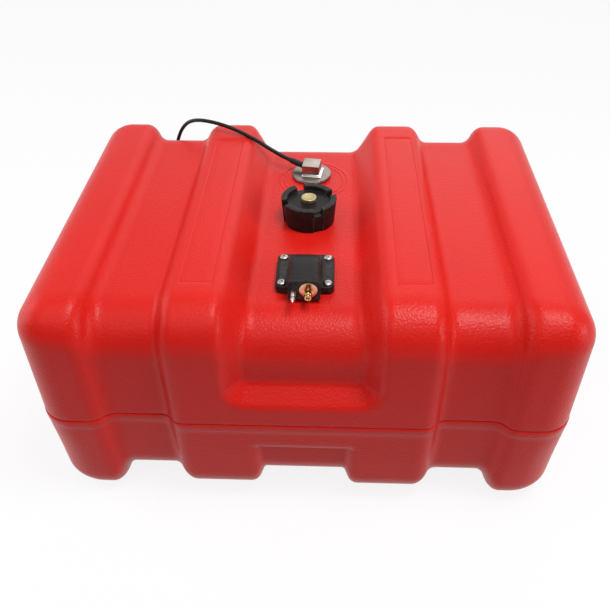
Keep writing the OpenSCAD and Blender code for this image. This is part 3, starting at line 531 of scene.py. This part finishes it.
def ramp(t, depth, c, inset):
    # depth of a wall that leaves its rim on one arc, runs straight and meets its root on another
    a, run = radians(c["angle"]), rampRun(depth, c)
    r1, r2 = c["rim"] - inset, c["root"] + inset
    first = r1 - np.sqrt(np.maximum(r1 * r1 - t * t, 0))
    middle = r1 * (1 - cos(a)) + (t - r1 * sin(a)) * tan(a)
    last = depth - r2 + np.sqrt(np.maximum(r2 * r2 - (run - t) ** 2, 0))
    ends = [t <= 0, t < r1 * sin(a), t < run - r2 * sin(a), t < run]
    return np.select(ends, [0 * t, first, middle, last], depth)


def rampLines(depth, c, steps):
    a, run = radians(c["angle"]), rampRun(depth, c)
    arc = [sin(a * k / steps) for k in range(steps + 1)]
    return [c["rim"] * s for s in arc] + [run - c["root"] * s for s in arc[::-1]]


notchDeep = notch["under"] - notch["rise"]
notchRun, recessRun = rampRun(notchDeep, notch), rampRun(recess["depth"], recess)
notchHalf = notch["floor"] / 2 + notchRun
channelHalf = channel["floor"] / 2 + rampRun(channel["depth"], channel)
coreX, coreY = tank["wide"] / 2 - tank["edge"], tank["deep"] / 2 - tank["edge"]
coreLow, coreHigh = tank["footRoll"][2], tank["high"] - tank["topRoll"][1]
keepHigh = recess["low"] + max(recess["corner"], recessRun + 8) + 2  # the top's grooves fade out above this
keepLow = notch["high"] - notchRun - 2  # and the underside's below this


def rimInside(dx, dz, r):
    # distance in from the rim of an opening with a round corner
    x, z = r - dx, r - dz
    return r - np.minimum(np.maximum(x, z), 0) - np.hypot(np.maximum(x, 0), np.maximum(z, 0))


def strapShare(x, t):
    off = np.abs(x) - strap["x"]
    walls = [ramp(c["floor"] + rampRun(strap["top"], c) - np.abs(off), strap["top"], c, t)
             for c in (strapInner, strapOuter)]
    return np.where(off < 0, *walls) / strap["top"]


def topDepth(x, t):
    return strap["top"] * strapShare(x, t) + ramp(channelHalf - np.abs(x), channel["depth"], channel, t)


def underDepth(x, t):
    rise, share = notch["rise"], strapShare(x, t)
    inner = rise + (strap["under"] - rise) * share + ramp(notchHalf - np.abs(x), notchDeep, notch, t)
    return np.where(np.abs(x) > strap["x"], strap["under"] * share, inner)


def sideDepth(x, z, t):
    inRecess = rimInside(recess["half"] - np.abs(x), z - recess["low"], recess["corner"])
    inNotch = rimInside(notchHalf - np.abs(x), notch["high"] - z, notch["corner"])
    high = ramp(inRecess, recess["depth"], recess, t)
    low = notch["side"] / notchDeep * ramp(inNotch, notchDeep, notch, t)
    return strap["side"] * strapShare(x, t) + np.where(z > tank["seam"], high, low)


def lipOut(below):
    # how far the lower half stands out: a round shoulder, a faint step, then a fade to the floor
    shoulder = 1 - (1 - np.minimum(below / tank["lipHigh"], 1)) ** tank["lipCurve"]
    fade = np.clip((tank["seam"] - below) / (tank["seam"] - tank["lipHigh"]), 0, 1)
    step = tank["stepDeep"] * smoothStep(below, tank["step"], tank["step"] + tank["stepHigh"])
    return tank["lip"] * np.where(below < tank["lipHigh"], shoulder, fade) - step


def wallPoints(p, t, lower):
    # takes grid points to the skin, t under the outside; edges holds the edge radii across, deep and high
    seam, edges = tank["seam"], np.full((len(p), 3), float(tank["edge"]))
    if lower:
        grown = np.array(tank["footRoll"]) - tank["edge"]
        edges += grown * (1 - smoothStep(p[:, 2:], tank["footFade"], seam))
        edges[:, 2] = tank["footRoll"][2]
    else:  # the front's top edge is rounder between the corners
        rounder = 1 - smoothStep(np.abs(p[:, 0]), *tank["rollAcross"])
        rounder = rounder * smoothStep(-p[:, 1], 0, tank["rollDeep"])
        risen = smoothStep(p[:, 2], seam + tank["rollRise"], coreHigh)
        edges[:, 1] += (tank["topRoll"][0] - tank["edge"]) * rounder * risen
        edges[:, 2] += (tank["topRoll"][1] - tank["edge"]) * rounder
    core = np.array((tank["wide"] / 2, tank["deep"] / 2, tank["high"])) - edges
    c = np.clip(p, np.stack([-core[:, 0], -core[:, 1], np.full(len(p), coreLow)], 1), core)
    n = (p - c) / edges
    n = n / np.linalg.norm(n, axis=1)[:, None]
    x, y, z = (c + (edges - t) * n).T
    up = np.clip((c[:, 2] - keepHigh) / (core[:, 2] - keepHigh), 0, 1)
    down = np.clip((keepLow - c[:, 2]) / (keepLow - coreLow), 0, 1)
    y = y - c[:, 1] * sideDepth(x, c[:, 2] + (-hair if lower else hair), t) / core[:, 1]
    z = z - topDepth(x, t) * up + underDepth(x, t) * down
    draw = tank["draft"] * np.clip((seam - z) / seam, 0, 1)
    out = np.zeros(len(p))
    if t == 0 and lower:
        out = lipOut(seam - p[:, 2])
    elif t == 0:
        out = -tank["crease"] * (1 - smoothStep(p[:, 2], seam, seam + tank["creaseHigh"]))
        for x0, x1, y0, y1 in panels["boxes"]:
            inside = np.minimum.reduce([p[:, 0] - x0, x1 - p[:, 0], p[:, 1] - y0, y1 - p[:, 1]])
            z = z - np.interp(inside, panels["reach"], panels["depths"]) * (p[:, 2] > tank["high"] - hair)
    x = x * (1 - draw * 2 / tank["wide"]) + out * n[:, 0]
    y = y * (1 - draw * 2 / tank["deep"]) + out * n[:, 1]
    return np.stack([x, y, z], 1)


def filled(lines, most, spans=()):
    # sorted grid lines, with more put in wherever two lie further apart than most, or than a span allows
    lines = sorted(lines)
    lines = [v for k, v in enumerate(lines) if k == 0 or v - lines[k - 1] > 0.02]
    out = lines[:1]
    for a, b in zip(lines, lines[1:]):
        limit = min([most] + [s for low, high, s in spans if a < high and b > low])
        pieces = max(1, ceil((b - a) / limit - 1e-6))
        out += [a + (b - a) * k / pieces for k in range(1, pieces + 1)]
    return out


def rollLines(radius):
    return [radius * tan(radians(45 * k / 9)) for k in range(10)]


def acrossLines(rim, lines, extra):
    half = [rim - s for s in lines] + [coreX + s for s in rollLines(tank["edge"])]
    for sign, c in ((-1, strapInner), (1, strapOuter)):
        reach = c["floor"] + rampRun(strap["top"], c)
        half += [strap["x"] + sign * (reach - s) for s in rampLines(strap["top"], c, 7)]
    low, high = grid["fineAcross"]
    fine = [(low, high, grid["fine"]), (-high, -low, grid["fine"])]
    return filled(half + [-v for v in half] + extra, grid["across"], fine)


panelX, panelY = [], []
for x0, x1, y0, y1 in panels["boxes"]:
    for reach in panels["reach"]:
        panelX += [x0 + reach, x1 - reach]
        panelY += [y0 + reach, y1 - reach]
rollY = tank["deep"] / 2 - tank["topRoll"][0]
upperY = [s * (rollY + v) for v in rollLines(tank["topRoll"][0]) for s in (-1, 1)]
upperY = filled(upperY + panelY, grid["deep"])
lowerY = filled([s * (coreY + v) for v in rollLines(tank["edge"]) for s in (-1, 1)], grid["deep"])
upperX = acrossLines(channelHalf, rampLines(channel["depth"], channel, 8), panelX)
lowerX = acrossLines(notchHalf, rampLines(notchDeep, notch, 5), [])
highLines = [recess["low"] + s for s in rampLines(recess["depth"], recess, 6)] + [keepHigh]
highLines += [coreHigh + s for s in rollLines(tank["topRoll"][1])]
lowLines = [notch["high"] - s for s in rampLines(notchDeep, notch, 5)]
lowLines += [coreLow - s for s in rollLines(tank["footRoll"][2])]
overSeam = [tank["seam"] + tank["creaseHigh"] * s for s in grid["overSeam"]]
underSeam = [tank["seam"] - s for s in grid["underSeam"]]
upperZ = filled(overSeam + highLines, grid["high"], [(recess["low"], keepHigh, grid["fine"])])
upperInnerZ = filled([tank["seam"]] + highLines, grid["inside"])
lowerZ = filled(underSeam + lowLines, grid["high"], [(keepLow, notch["high"], grid["fine"])])[::-1]
lowerInnerZ = filled([tank["seam"]] + lowLines, grid["inside"])[::-1]


def halfShell(name, gx, gy, outerZ, innerZ, lower):
    # one skin outside and one inside, each of walls and a lid, joined along the seam
    gx, gy = np.array(gx), np.array(gy)
    nx, ny = len(gx) - 1, len(gy) - 1
    loopXY = np.concatenate([
        np.stack([gx[:-1], np.full(nx, gy[0])], 1), np.stack([np.full(ny, gx[-1]), gy[:-1]], 1),
        np.stack([gx[:0:-1], np.full(nx, gy[-1])], 1), np.stack([np.full(ny, gx[0]), gy[:0:-1]], 1)])
    loop = len(loopXY)

    def skin(gz, t, first):
        side = np.concatenate([np.column_stack([loopXY, np.full(loop, z)]) for z in gz])
        innerX, innerY = np.meshgrid(gx[1:-1], gy[1:-1], indexing="ij")
        lid = np.column_stack([innerX.ravel(), innerY.ravel(), np.full(innerX.size, gz[-1])])
        points = wallPoints(np.concatenate([side, lid]), t, lower)
        number = np.zeros((nx + 1, ny + 1), int)  # vertex number at each crossing of the lid
        base = (len(gz) - 1) * loop
        number[1:-1, 1:-1] = len(gz) * loop + np.arange(innerX.size).reshape(innerX.shape)
        number[:nx, 0] = base + np.arange(nx)
        number[nx, :ny] = base + nx + np.arange(ny)
        number[nx:0:-1, ny] = base + nx + ny + np.arange(nx)
        number[0, ny:0:-1] = base + 2 * nx + ny + np.arange(ny)
        corners = number[:-1, :-1], number[1:, :-1], number[1:, 1:], number[:-1, 1:]
        lids = np.stack(corners, -1).reshape(-1, 4)
        return points, np.concatenate([strips(loop, len(gz)), lids]) + first

    outer, outerFaces = skin(outerZ, 0, 0)
    inner, innerFaces = skin(innerZ, tank["wall"], len(outer))
    m = np.arange(loop)
    nextM = (m + 1) % loop
    rim = np.stack([m, nextM, nextM + len(outer), m + len(outer)], 1)
    faces = np.concatenate([outerFaces, innerFaces, rim]).tolist()
    return makeObject(name, np.concatenate([outer, inner]), faces)


# the fittings' own sizes, which the holes in the top follow
filler = {"y": 5, "floor": 250, "neck": 24, "core": 22.9, "bore": 19.5, "foot": 242, "flange": 34, "top": 270,
          "fit": 0.05, "around": 96, "pitch": 6, "thread": (252, 268), "threadStep": 0.5,
          "crest": (0.3, 0.14), "runOut": 2}
outlet = {"y": -107, "plate": (62, 58), "corner": 7, "low": 251.5, "high": 259.5, "edge": 1.2,
          "pickupHole": 7, "screws": (24, 22), "screwHoles": (2.15, 2.45), "trunk": 34, "trunkTop": 278.5,
          "trunkCorner": 7, "lift": 3, "face": -150, "straight": (-140, -131), "slope": (-124, -86),
          "sink": 0.4, "nippleX": 4.5, "nippleZ": 266, "pinX": -10.5, "pinZ": 267.5}
post = {"y": 108, "bore": 2.6, "top": 254.5, "foot": 1.9}
drill = {"through": (243, 252), "around": 48}
screwX, screwY = outlet["screws"]
screwSpots = [(sx * screwX, outlet["y"] + sy * screwY) for sx in (-1, 1) for sy in (-1, 1)]


def drillDown(spots, low, high, around):
    # upright drills of (x, y, radius)
    drills = []
    for x, y, r in spots:
        p, f = lathe([(0, low), (r, low), (r, high), (0, high)], around)
        drills.append((np.asarray(p) + (x, y, 0), f))
    return drills


upperShell = halfShell("upperShell", upperX, upperY, upperZ, upperInnerZ, False)
bands = []
for radius in rings["radii"]:  # two low moulded rings round the disc
    arc = np.linspace(0, pi, 9)
    crown = [(radius + rings["wide"] / 2 * cos(a), rings["high"] * sin(a)) for a in arc]
    crown[0], crown[-1] = (crown[0][0], -rings["sunk"]), (crown[-1][0], -rings["sunk"])
    p, f = lathe(crown, rings["around"], True)
    bands.append((np.asarray(p) + (*rings["middle"], filler["floor"]), f))
cutWith(upperShell, makeObject("moulding", *joined(bands)), "UNION")
holes = [(0, filler["y"], filler["neck"] + filler["fit"]),
         (outlet["nippleX"], outlet["y"], outlet["pickupHole"]), (0, post["y"], post["bore"])]
holes += [(*spot, outlet["screwHoles"][0]) for spot in screwSpots]
cutWith(upperShell, makeObject("drills", *joined(drillDown(holes, *drill["through"], drill["around"]))))
finishPiece(upperShell, "tank_red", "upper_shell")
lowerShell = halfShell("lowerShell", lowerX, lowerY, lowerZ, lowerInnerZ, True)
finishPiece(lowerShell, "tank_red", "lower_shell")
print("stage: tank halves lofted,", len(upperShell.data.polygons), len(lowerShell.data.polygons), "faces")


# filler: threaded neck, cap with four lugs, vent screw
def threadedNeck(c):
    around, (start, end) = c["around"], c["thread"]
    heights = np.arange(start, end + hair, c["threadStep"])
    low = [(c["bore"], c["foot"] + 0.6), (c["bore"] + 0.6, c["foot"]), (c["flange"] - 0.5, c["foot"]),
           (c["flange"], c["foot"] + 0.5), (c["flange"], c["foot"] + 3), (c["neck"], c["foot"] + 3),
           (c["neck"], c["floor"] + 0.2), (c["core"], c["floor"] + 0.8)]
    high = [(c["core"], c["top"] - 0.8), (c["core"] - 0.8, c["top"]), (c["bore"] + 0.8, c["top"]),
            (c["bore"], c["top"] - 0.8)]
    points, faces = lathe(low + [(c["core"], z) for z in heights] + high, around, True)
    points = np.asarray(points)
    first = len(low) * around
    for row, z in enumerate(heights):
        for k in range(around):
            phase = ((z - start) / c["pitch"] - k / around) % 1.0
            crest = np.clip((c["crest"][0] - abs(phase - 0.5)) / c["crest"][1], 0, 1)  # trapezoid thread
            fade = min(1, (z - start) / c["runOut"], (end - z) / c["runOut"])
            r = c["core"] + (c["neck"] - c["fit"] - c["core"]) * crest * fade
            a = 2 * pi * k / around
            points[first + row * around + k, :2] = r * cos(a), r * sin(a)
    return points + (0, c["y"], 0), faces


fillerNeck = makeObject("fillerNeck", *threadedNeck(filler))
finishPiece(fillerNeck, "tank_red", "filler_neck")

cap = {"turn": 23, "foot": 250.6, "footR": 30, "rim": 32.5, "top": 281, "deck": 275, "under": 272, "lug": 7,
       "gap": 9.5, "blend": 0.9, "ledge": 273, "strip": 1.4, "boss": 10, "seat": 275.5, "hole": 3.05,
       "tube": 6, "tubeFoot": 261.5, "collar": 24.35, "collarThick": 2.6, "collarFoot": 256, "skirt": 2.0,
       "edge": 1.1, "gapEdge": 0.88, "lugSteps": 22, "middle": 22, "paleEdge": 28}


def capGrid(c):
    # one closed profile for the lugs and one for the gaps between them, lofted round the cap
    rimIn, collarOut = c["rim"] - c["lug"], c["collar"] + c["collarThick"]
    body = [(rimIn - 0.7, c["deck"]), (c["boss"] + 0.4, c["deck"]), (c["boss"], c["seat"]),
            (c["hole"], c["seat"]), (c["hole"], c["tubeFoot"]), (c["tube"], c["tubeFoot"]),
            (c["tube"], c["under"]), (c["collar"], c["under"]), (c["collar"], c["collarFoot"]),
            (collarOut, c["collarFoot"]), (collarOut, c["under"]), (c["footR"] + 1.4 - c["skirt"], c["under"]),
            (c["footR"] - c["skirt"], c["foot"])]
    lug = [(c["footR"], c["foot"]), (c["rim"], c["top"]), (rimIn, c["top"])] + body
    gap = [(c["footR"] - c["strip"], c["foot"]), (c["rim"] - c["strip"] - 0.3, c["ledge"]),
           (rimIn - 0.5, c["ledge"])] + body
    lug, gap = softCorners(lug, c["edge"], 4, True), softCorners(gap, c["gapEdge"], 4, True)
    half, blend = c["gap"] / 2, c["blend"]
    side = [(half * 0.5, 1), (half, 1), (half + 0.35 * blend, 0.55), (half + 0.7 * blend, 0.1),
            (half + blend, 0)]
    stops = [(-offset, share) for offset, share in side[::-1]] + [(0, 1)] + side  # share of the gap's profile
    columns = len(stops) + c["lugSteps"] - 1
    points = []
    for quarter in range(4):
        for k in range(columns):
            offset, share = stops[min(k, len(stops) - 1)]
            for (ra, za), (rb, zb) in zip(lug, gap):
                r, z = ra + (rb - ra) * share, za + (zb - za) * share
                a = asin(offset / max(r, c["middle"]))
                if k >= len(stops):  # evenly along the lug
                    a += (pi / 2 - 2 * a) * (k - len(stops) + 1) / c["lugSteps"]
                a += radians(c["turn"]) + quarter * pi / 2
                points.append((r * cos(a), r * sin(a), z))
    return np.asarray(points) + (0, filler["y"], 0), strips(len(lug), 4 * columns, True)


fillerCap = makeObject("fillerCap", *capGrid(cap))
markEdges(fillerCap, cap["paleEdge"])
finishPiece(fillerCap, "moulded_black", "filler_cap", "cap")

vent = {"head": 9, "low": 276.5, "top": 281.5, "shank": 3, "tip": 258.5, "thread": 0.35, "threadStep": 0.5,
        "knurls": 48, "knurl": 0.35, "around": 192, "sharp": 50}


def ventShape(c):
    head, low, top, shank, tip, d = (c[k] for k in ("head", "low", "top", "shank", "tip", "knurl"))
    profile = [(0, tip), (shank - 0.8, tip), (shank - 0.2, tip + 0.9)]
    for k, z in enumerate(np.arange(tip + 1.5, low - 1.4, c["threadStep"])):
        profile.append((shank - (c["thread"] if k % 2 else 0), z))
    profile += [(shank, low - 0.9), (shank, low), (head - 0.7, low), (head - 0.15, low + 0.2),
                (head, low + 0.6, d), (head, top - 0.9, d), (head - 0.25, top - 0.4), (head - 0.8, top),
                (head - 2.2, top), (head - 2.5, top - 0.25), (2.0, top - 0.25), (0, top - 0.3)]
    points, faces = lathe(profile, c["around"], False, c["knurls"])
    return np.asarray(points) + (0, filler["y"], 0), faces


finishPiece(makeObject("ventScrew", *ventShape(vent)), "brass", "vent_screw", "vent", vent["sharp"])
print("stage: filler made")


# fuel outlet: plate and trunk, screws, nipple with its ball and spring, guide pin
def outletShape(c):
    edge, face = c["edge"], c["face"]
    levels = [(c["low"], 0.3), (c["low"] + 0.3, 0), (c["high"] - edge, 0)]
    for a in np.linspace(0.4, pi / 2, 4):
        levels.append((c["high"] - edge + edge * sin(a), edge * (1 - cos(a))))
    plateLoops = []
    for z, inset in levels:
        outline = roundRect(c["plate"][0] - 2 * inset, c["plate"][1] - 2 * inset, c["corner"] - inset)
        plateLoops.append([(x, y + c["y"], z) for x, y in outline])
    stations = [(face, edge, 0), (face + 0.35, 0.5, 0), (face + edge, 0, 0)]
    stations += [(y, 0, 0) for y in c["straight"]]
    start, end = c["slope"]
    for a in np.linspace(0, pi / 2, 13):  # the roof falls away on an arc
        stations.append((start + (end - start) * sin(a), 0, 1 - cos(a)))
    trunkLoops = []
    for y, inset, drop in stations:
        low, half = c["low"] + c["lift"] + inset / 2, c["trunk"] / 2 - inset
        top = c["trunkTop"] - inset - drop * (c["trunkTop"] - c["high"] + c["sink"])
        r = min(c["trunkCorner"], (top - low) * 0.8)
        arc = [(half - r + r * cos(a), top - r + r * sin(a)) for a in np.linspace(0, pi / 2, 9)]
        loop = [(half, low)] + arc + [(-x, z) for x, z in arc[::-1]] + [(-half, low)]
        trunkLoops.append([(x, y, z) for x, z in loop])
    return loft(plateLoops), loft(trunkLoops)


bores = {"nipple": [(10.4, -151, -146), (3.8, -147, -132)], "pin": [(1.95, -151, -138)], "around": 56,
         "screwThrough": (250, 262), "screwAround": 32, "paleEdge": 60}
alongY = (0, 1, 0)
plate, trunk = outletShape(outlet)
outletBody = makeObject("outletBody", *plate)
cutWith(outletBody, makeObject("trunk", *trunk), "UNION")
drills = []
for kind in ("nipple", "pin"):
    for r, y0, y1 in bores[kind]:
        p, f = lathe([(0, 0), (r, 0), (r, y1 - y0), (0, y1 - y0)], bores["around"])
        drills.append((turned(p, (outlet[kind + "X"], y0, outlet[kind + "Z"]), alongY), f))
drills += drillDown([(*spot, outlet["screwHoles"][1]) for spot in screwSpots],
                    *bores["screwThrough"], bores["screwAround"])
for n, shape in enumerate(drills):
    cutWith(outletBody, makeObject(f"drill{n}", *shape))
markEdges(outletBody, bores["paleEdge"])
finishPiece(outletBody, "moulded_black", "outlet_body")

screw = {"head": 4.8, "shank": 2.1, "long": 18, "taper": 14, "thread": 0.45, "threadStep": 0.6, "around": 40,
         "turns": (-67, 39, -5, 101), "slot": ((1.2, 0.7, 0.3), (3.4, 2.6, 0.65))}


def screwShape(c, top):
    head = c["head"]
    profile = [(0, top - c["long"]), (c["shank"] - 0.6, top - c["taper"])]
    for k, z in enumerate(np.arange(12.0, 0.5, -c["threadStep"])):
        profile.append((c["shank"] - (c["thread"] if k % 2 else 0), top - z))
    profile += [(c["shank"], top), (head - 0.2, top), (head, top + 0.3), (head, top + 1.0),
                (head - 0.12, top + 1.4), (head - 0.5, top + 1.85), (head - 1.1, top + 2.25),
                (head * 0.5, top + 2.65), (head * 0.25, top + 2.85), (0, top + 2.9)]
    return lathe(profile, c["around"])


shanks, crosses = [], []
for (x, y), turn in zip(screwSpots, screw["turns"]):  # each was driven to its own angle
    p, f = screwShape(screw, outlet["high"])
    shanks.append((np.asarray(p) + (x, y, 0), f))
    for a in (radians(turn), radians(turn + 90)):
        along, aside = np.array([cos(a), sin(a), 0]), np.array([-sin(a), cos(a), 0])
        loops = []
        for rise, arm, half in screw["slot"]:
            middle = np.array((x, y, outlet["high"] + rise))
            corners = ((arm, half), (-arm, half), (-arm, -half), (arm, -half))
            loops.append([middle + along * u + aside * v for u, v in corners])
        crosses.append(loft(loops))
outletScrews = makeObject("outletScrews", *joined(shanks))
for n, cross in enumerate(crosses):
    cutWith(outletScrews, makeObject(f"cross{n}", *cross))
finishPiece(outletScrews, "plated_steel", "outlet_screws")

# the profiles of (radius, Y) of what sits in the trunk's face
seat = {"soft": 0.5, "steps": 3, "around": 72,
        "profile": [(3.8, -149.5), (9.4, -149.5), (10.3, -148.6), (10.3, -146), (6.3, -146), (6.3, -147.5),
                    (3.8, -147.5)]}
nipple = {"soft": 0.3, "steps": 2, "around": 64,
          "profile": [(1.5, -161.4), (2.1, -162), (3.2, -162), (3.7, -161.5), (3.7, -160.3), (3.0, -159.6),
                      (3.0, -158), (3.7, -157.3), (3.7, -147.5), (6.2, -147.5), (6.2, -146), (3.7, -146),
                      (3.7, -133), (1.5, -133), (1.5, -144.49), (2.25, -144.49), (2.25, -160.4),
                      (1.5, -160.4)]}
pin = {"soft": 0.3, "steps": 2, "around": 40, "open": True,
       "profile": [(0, -170.5), (0.9, -170.1), (2.5, -166), (2.5, -163), (2.0, -162.5), (2.0, -161.5),
                   (2.5, -161), (2.5, -150.05), (1.9, -150.05), (1.9, -139.2), (0, -139)]}
nippleAt, pinAt = (outlet["nippleX"], 0, outlet["nippleZ"]), (outlet["pinX"], 0, outlet["pinZ"])
turnedPiece("nippleSeat", seat, nippleAt, alongY, "copper_seat", "nipple_seat")
turnedPiece("outletNipple", nipple, nippleAt, alongY, "brass", "outlet_nipple", "polished_brass")
turnedPiece("guidePin", pin, pinAt, alongY, "plated_steel", "guide_pin")

spring = {"from": -156.487, "to": -144.487, "radius": 1.75, "wire": 0.25, "turns": 8, "perTurn": 24,
          "sides": 8, "keep": 0.75}


def springCoil(c):
    steps, wire, loops = c["perTurn"] * c["turns"], c["wire"], []
    for k in range(steps + 1):
        a = 2 * pi * k / c["perTurn"]
        y = c["from"] + wire + (c["to"] - c["from"] - 2 * wire) * k / steps
        loop = []
        for b in np.linspace(0, 2 * pi, c["sides"], endpoint=False):
            r = c["radius"] + wire * cos(b)
            loop.append((nippleAt[0] + r * cos(a), y + wire * sin(b), nippleAt[2] + r * sin(a)))
        loops.append(loop)
    return loft(loops)


checkSpring = makeObject("checkSpring", *springCoil(spring))
finishPiece(checkSpring, "plated_steel", "check_spring")
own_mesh(checkSpring)
print("stage: outlet made")

# earth post: turned disc with a rolled rim, folded clip
disc = {"soft": 0.25, "steps": 2, "around": 128,
        "profile": [(2.6, 251.5), (25, 251.5), (25, 252.3), (24.3, 252.9), (24.3, 253.6), (25, 253.8),
                    (25, 254.1), (24.6, 254.5), (2.6, 254.5)]}
# the disc takes the darkened stainless, which is painted shade
turnedPiece("earthPlate", disc, (0, post["y"], 0), (0, 0, 1), "brushed_plate", "earth_plate", "plate_painted_shade")
leadClip = softened("lead_clip", "leadClip", "brushed_plate", 0.7, 3)
leadClip.data.materials.append(materials["burnished_foot"])
for face in leadClip.data.polygons:  # the foot's upward faces take the white mirror finish, which is a painted highlight
    if face.center.z < (post["top"] + post["foot"]) * mm and face.normal.z > 0.4:
        face.material_index = 1
softened("stud_nut", "studNut", "plated_steel", 0.3)
softened("earth_stud", "earthStud", "plated_steel", 0.3)

# the solids that stay as they are, each with its finish
kept = {"cap_gasket": "seal_rubber", "vent_seal": "seal_rubber", "outlet_gasket": "seal_rubber",
        "plate_seal": "seal_rubber", "check_ball": "plated_steel", "pickup_tube": "moulded_black",
        "pickup_screen": "moulded_black", "lead_lug": "tinned_lug"}
for node, slotName in kept.items():
    frame["nodes"][node].data.materials.clear()
    frame["nodes"][node].data.materials.append(materials[slotName])
print("stage: earth post made")

# studio: a white floor, one large soft light above, weaker light all round
studio = {"ambient": 0.15, "floorWhite": 0.86, "bounce": 0.37, "brightWay": (0.1, 0.7, 0.7), "darkRoom": 0.05,
          "spread": (0.25, 0.95), "floorRings": (1500, 9000), "floorLow": 0.2, "aim": (0, 0, 140)}
lamps = {"overheadSoftbox": {"place": (-300, -1150, 2400), "size": 2600, "power": 19},
         "keySoftbox": {"place": (650, -350, 2450), "size": 950, "power": 29},
         "rightSoftbox": {"place": (2300, -650, 900), "size": 1200, "power": 15},
         "leftSoftbox": {"place": (-2300, 300, 1000), "size": 2400, "power": 28},
         "backSoftbox": {"place": (600, 2500, 2000), "size": 2400, "power": 10}}
white = (1, 1, 1, 1)

# the world is white to the camera; reflections see it bright above and behind, and dark in front
world = bpy.data.worlds.new("studio")
bpy.context.scene.world = world
world.use_nodes = True
tree = world.node_tree
rays = addNode(tree, "LightPath").outputs
mirrored = addNode(tree, "Math", {}, {0: rays["Is Glossy Ray"], 1: rays["Is Transmission Ray"]},
                   operation="MAXIMUM")
toBack = addNode(tree, "VectorMath", {1: studio["brightWay"]},
                 {0: addNode(tree, "TexCoord").outputs["Generated"]}, operation="DOT_PRODUCT")
low, high = studio["spread"]
room = addNode(tree, "MapRange", {"From Min": low, "From Max": high, "To Min": studio["darkRoom"]},
               {"Value": toBack.outputs["Value"]})
level = addNode(tree, "MapRange", {"To Min": studio["ambient"]},
                {"Value": mirrored.outputs["Value"], "To Max": room.outputs["Result"]})
level = addNode(tree, "Math", {}, {0: level.outputs["Result"], 1: rays["Is Camera Ray"]},
                operation="MAXIMUM")
tree.links.new(level.outputs["Value"], tree.nodes["Background"].inputs["Strength"])
tree.nodes["Background"].inputs["Color"].default_value = white

# painted floor: white where it is looked at or mirrored, with the object's shadow, and grey as a light source
floorMaterial, tree, shader = newMaterial("paintedFloor", {"Roughness": 1.0, "Specular IOR Level": 0.0})
rays = addNode(tree, "LightPath").outputs
seen = addNode(tree, "Math", {}, {0: rays["Is Camera Ray"], 1: rays["Is Glossy Ray"]}, operation="MAXIMUM")
seen = addNode(tree, "Math", {}, {0: seen.outputs["Value"], 1: rays["Is Transmission Ray"]},
               operation="MAXIMUM")
share = addNode(tree, "Math", {1: studio["floorWhite"]}, {0: seen.outputs["Value"]}, operation="MULTIPLY")
paint = addNode(tree, "Mix", {6: (studio["bounce"],) * 3 + (1,), 7: white}, {0: seen.outputs["Value"]},
                data_type="RGBA")
tree.links.new(paint.outputs[2], shader.inputs["Base Color"])
glow = addNode(tree, "Emission", {"Strength": 1.0})
mixed = addNode(tree, "MixShader", {},
                {0: share.outputs["Value"], 1: shader.outputs["BSDF"], 2: glow.outputs["Emission"]})
tree.links.new(mixed.outputs["Shader"], tree.nodes["Material Output"].inputs["Surface"])
p, f = lathe([(0, 0)] + [(r, 0) for r in studio["floorRings"]])
floor = makeObject("floor", np.asarray(p) - (0, 0, studio["floorLow"]), f)
floor.data.materials.append(floorMaterial)

for name, c in lamps.items():
    lamp = bpy.data.lights.new(name, "AREA")
    lamp.shape, lamp.size, lamp.energy = "DISK", c["size"] * mm, c["power"]
    obj = addObject(name, lamp)
    obj.location = Vector(c["place"]) * mm
    obj.rotation_euler = (Vector(studio["aim"]) * mm - obj.location).to_track_quat("-Z", "Y").to_euler()
bpy.context.scene.view_settings.view_transform = "Standard"
print("stage: studio lit")
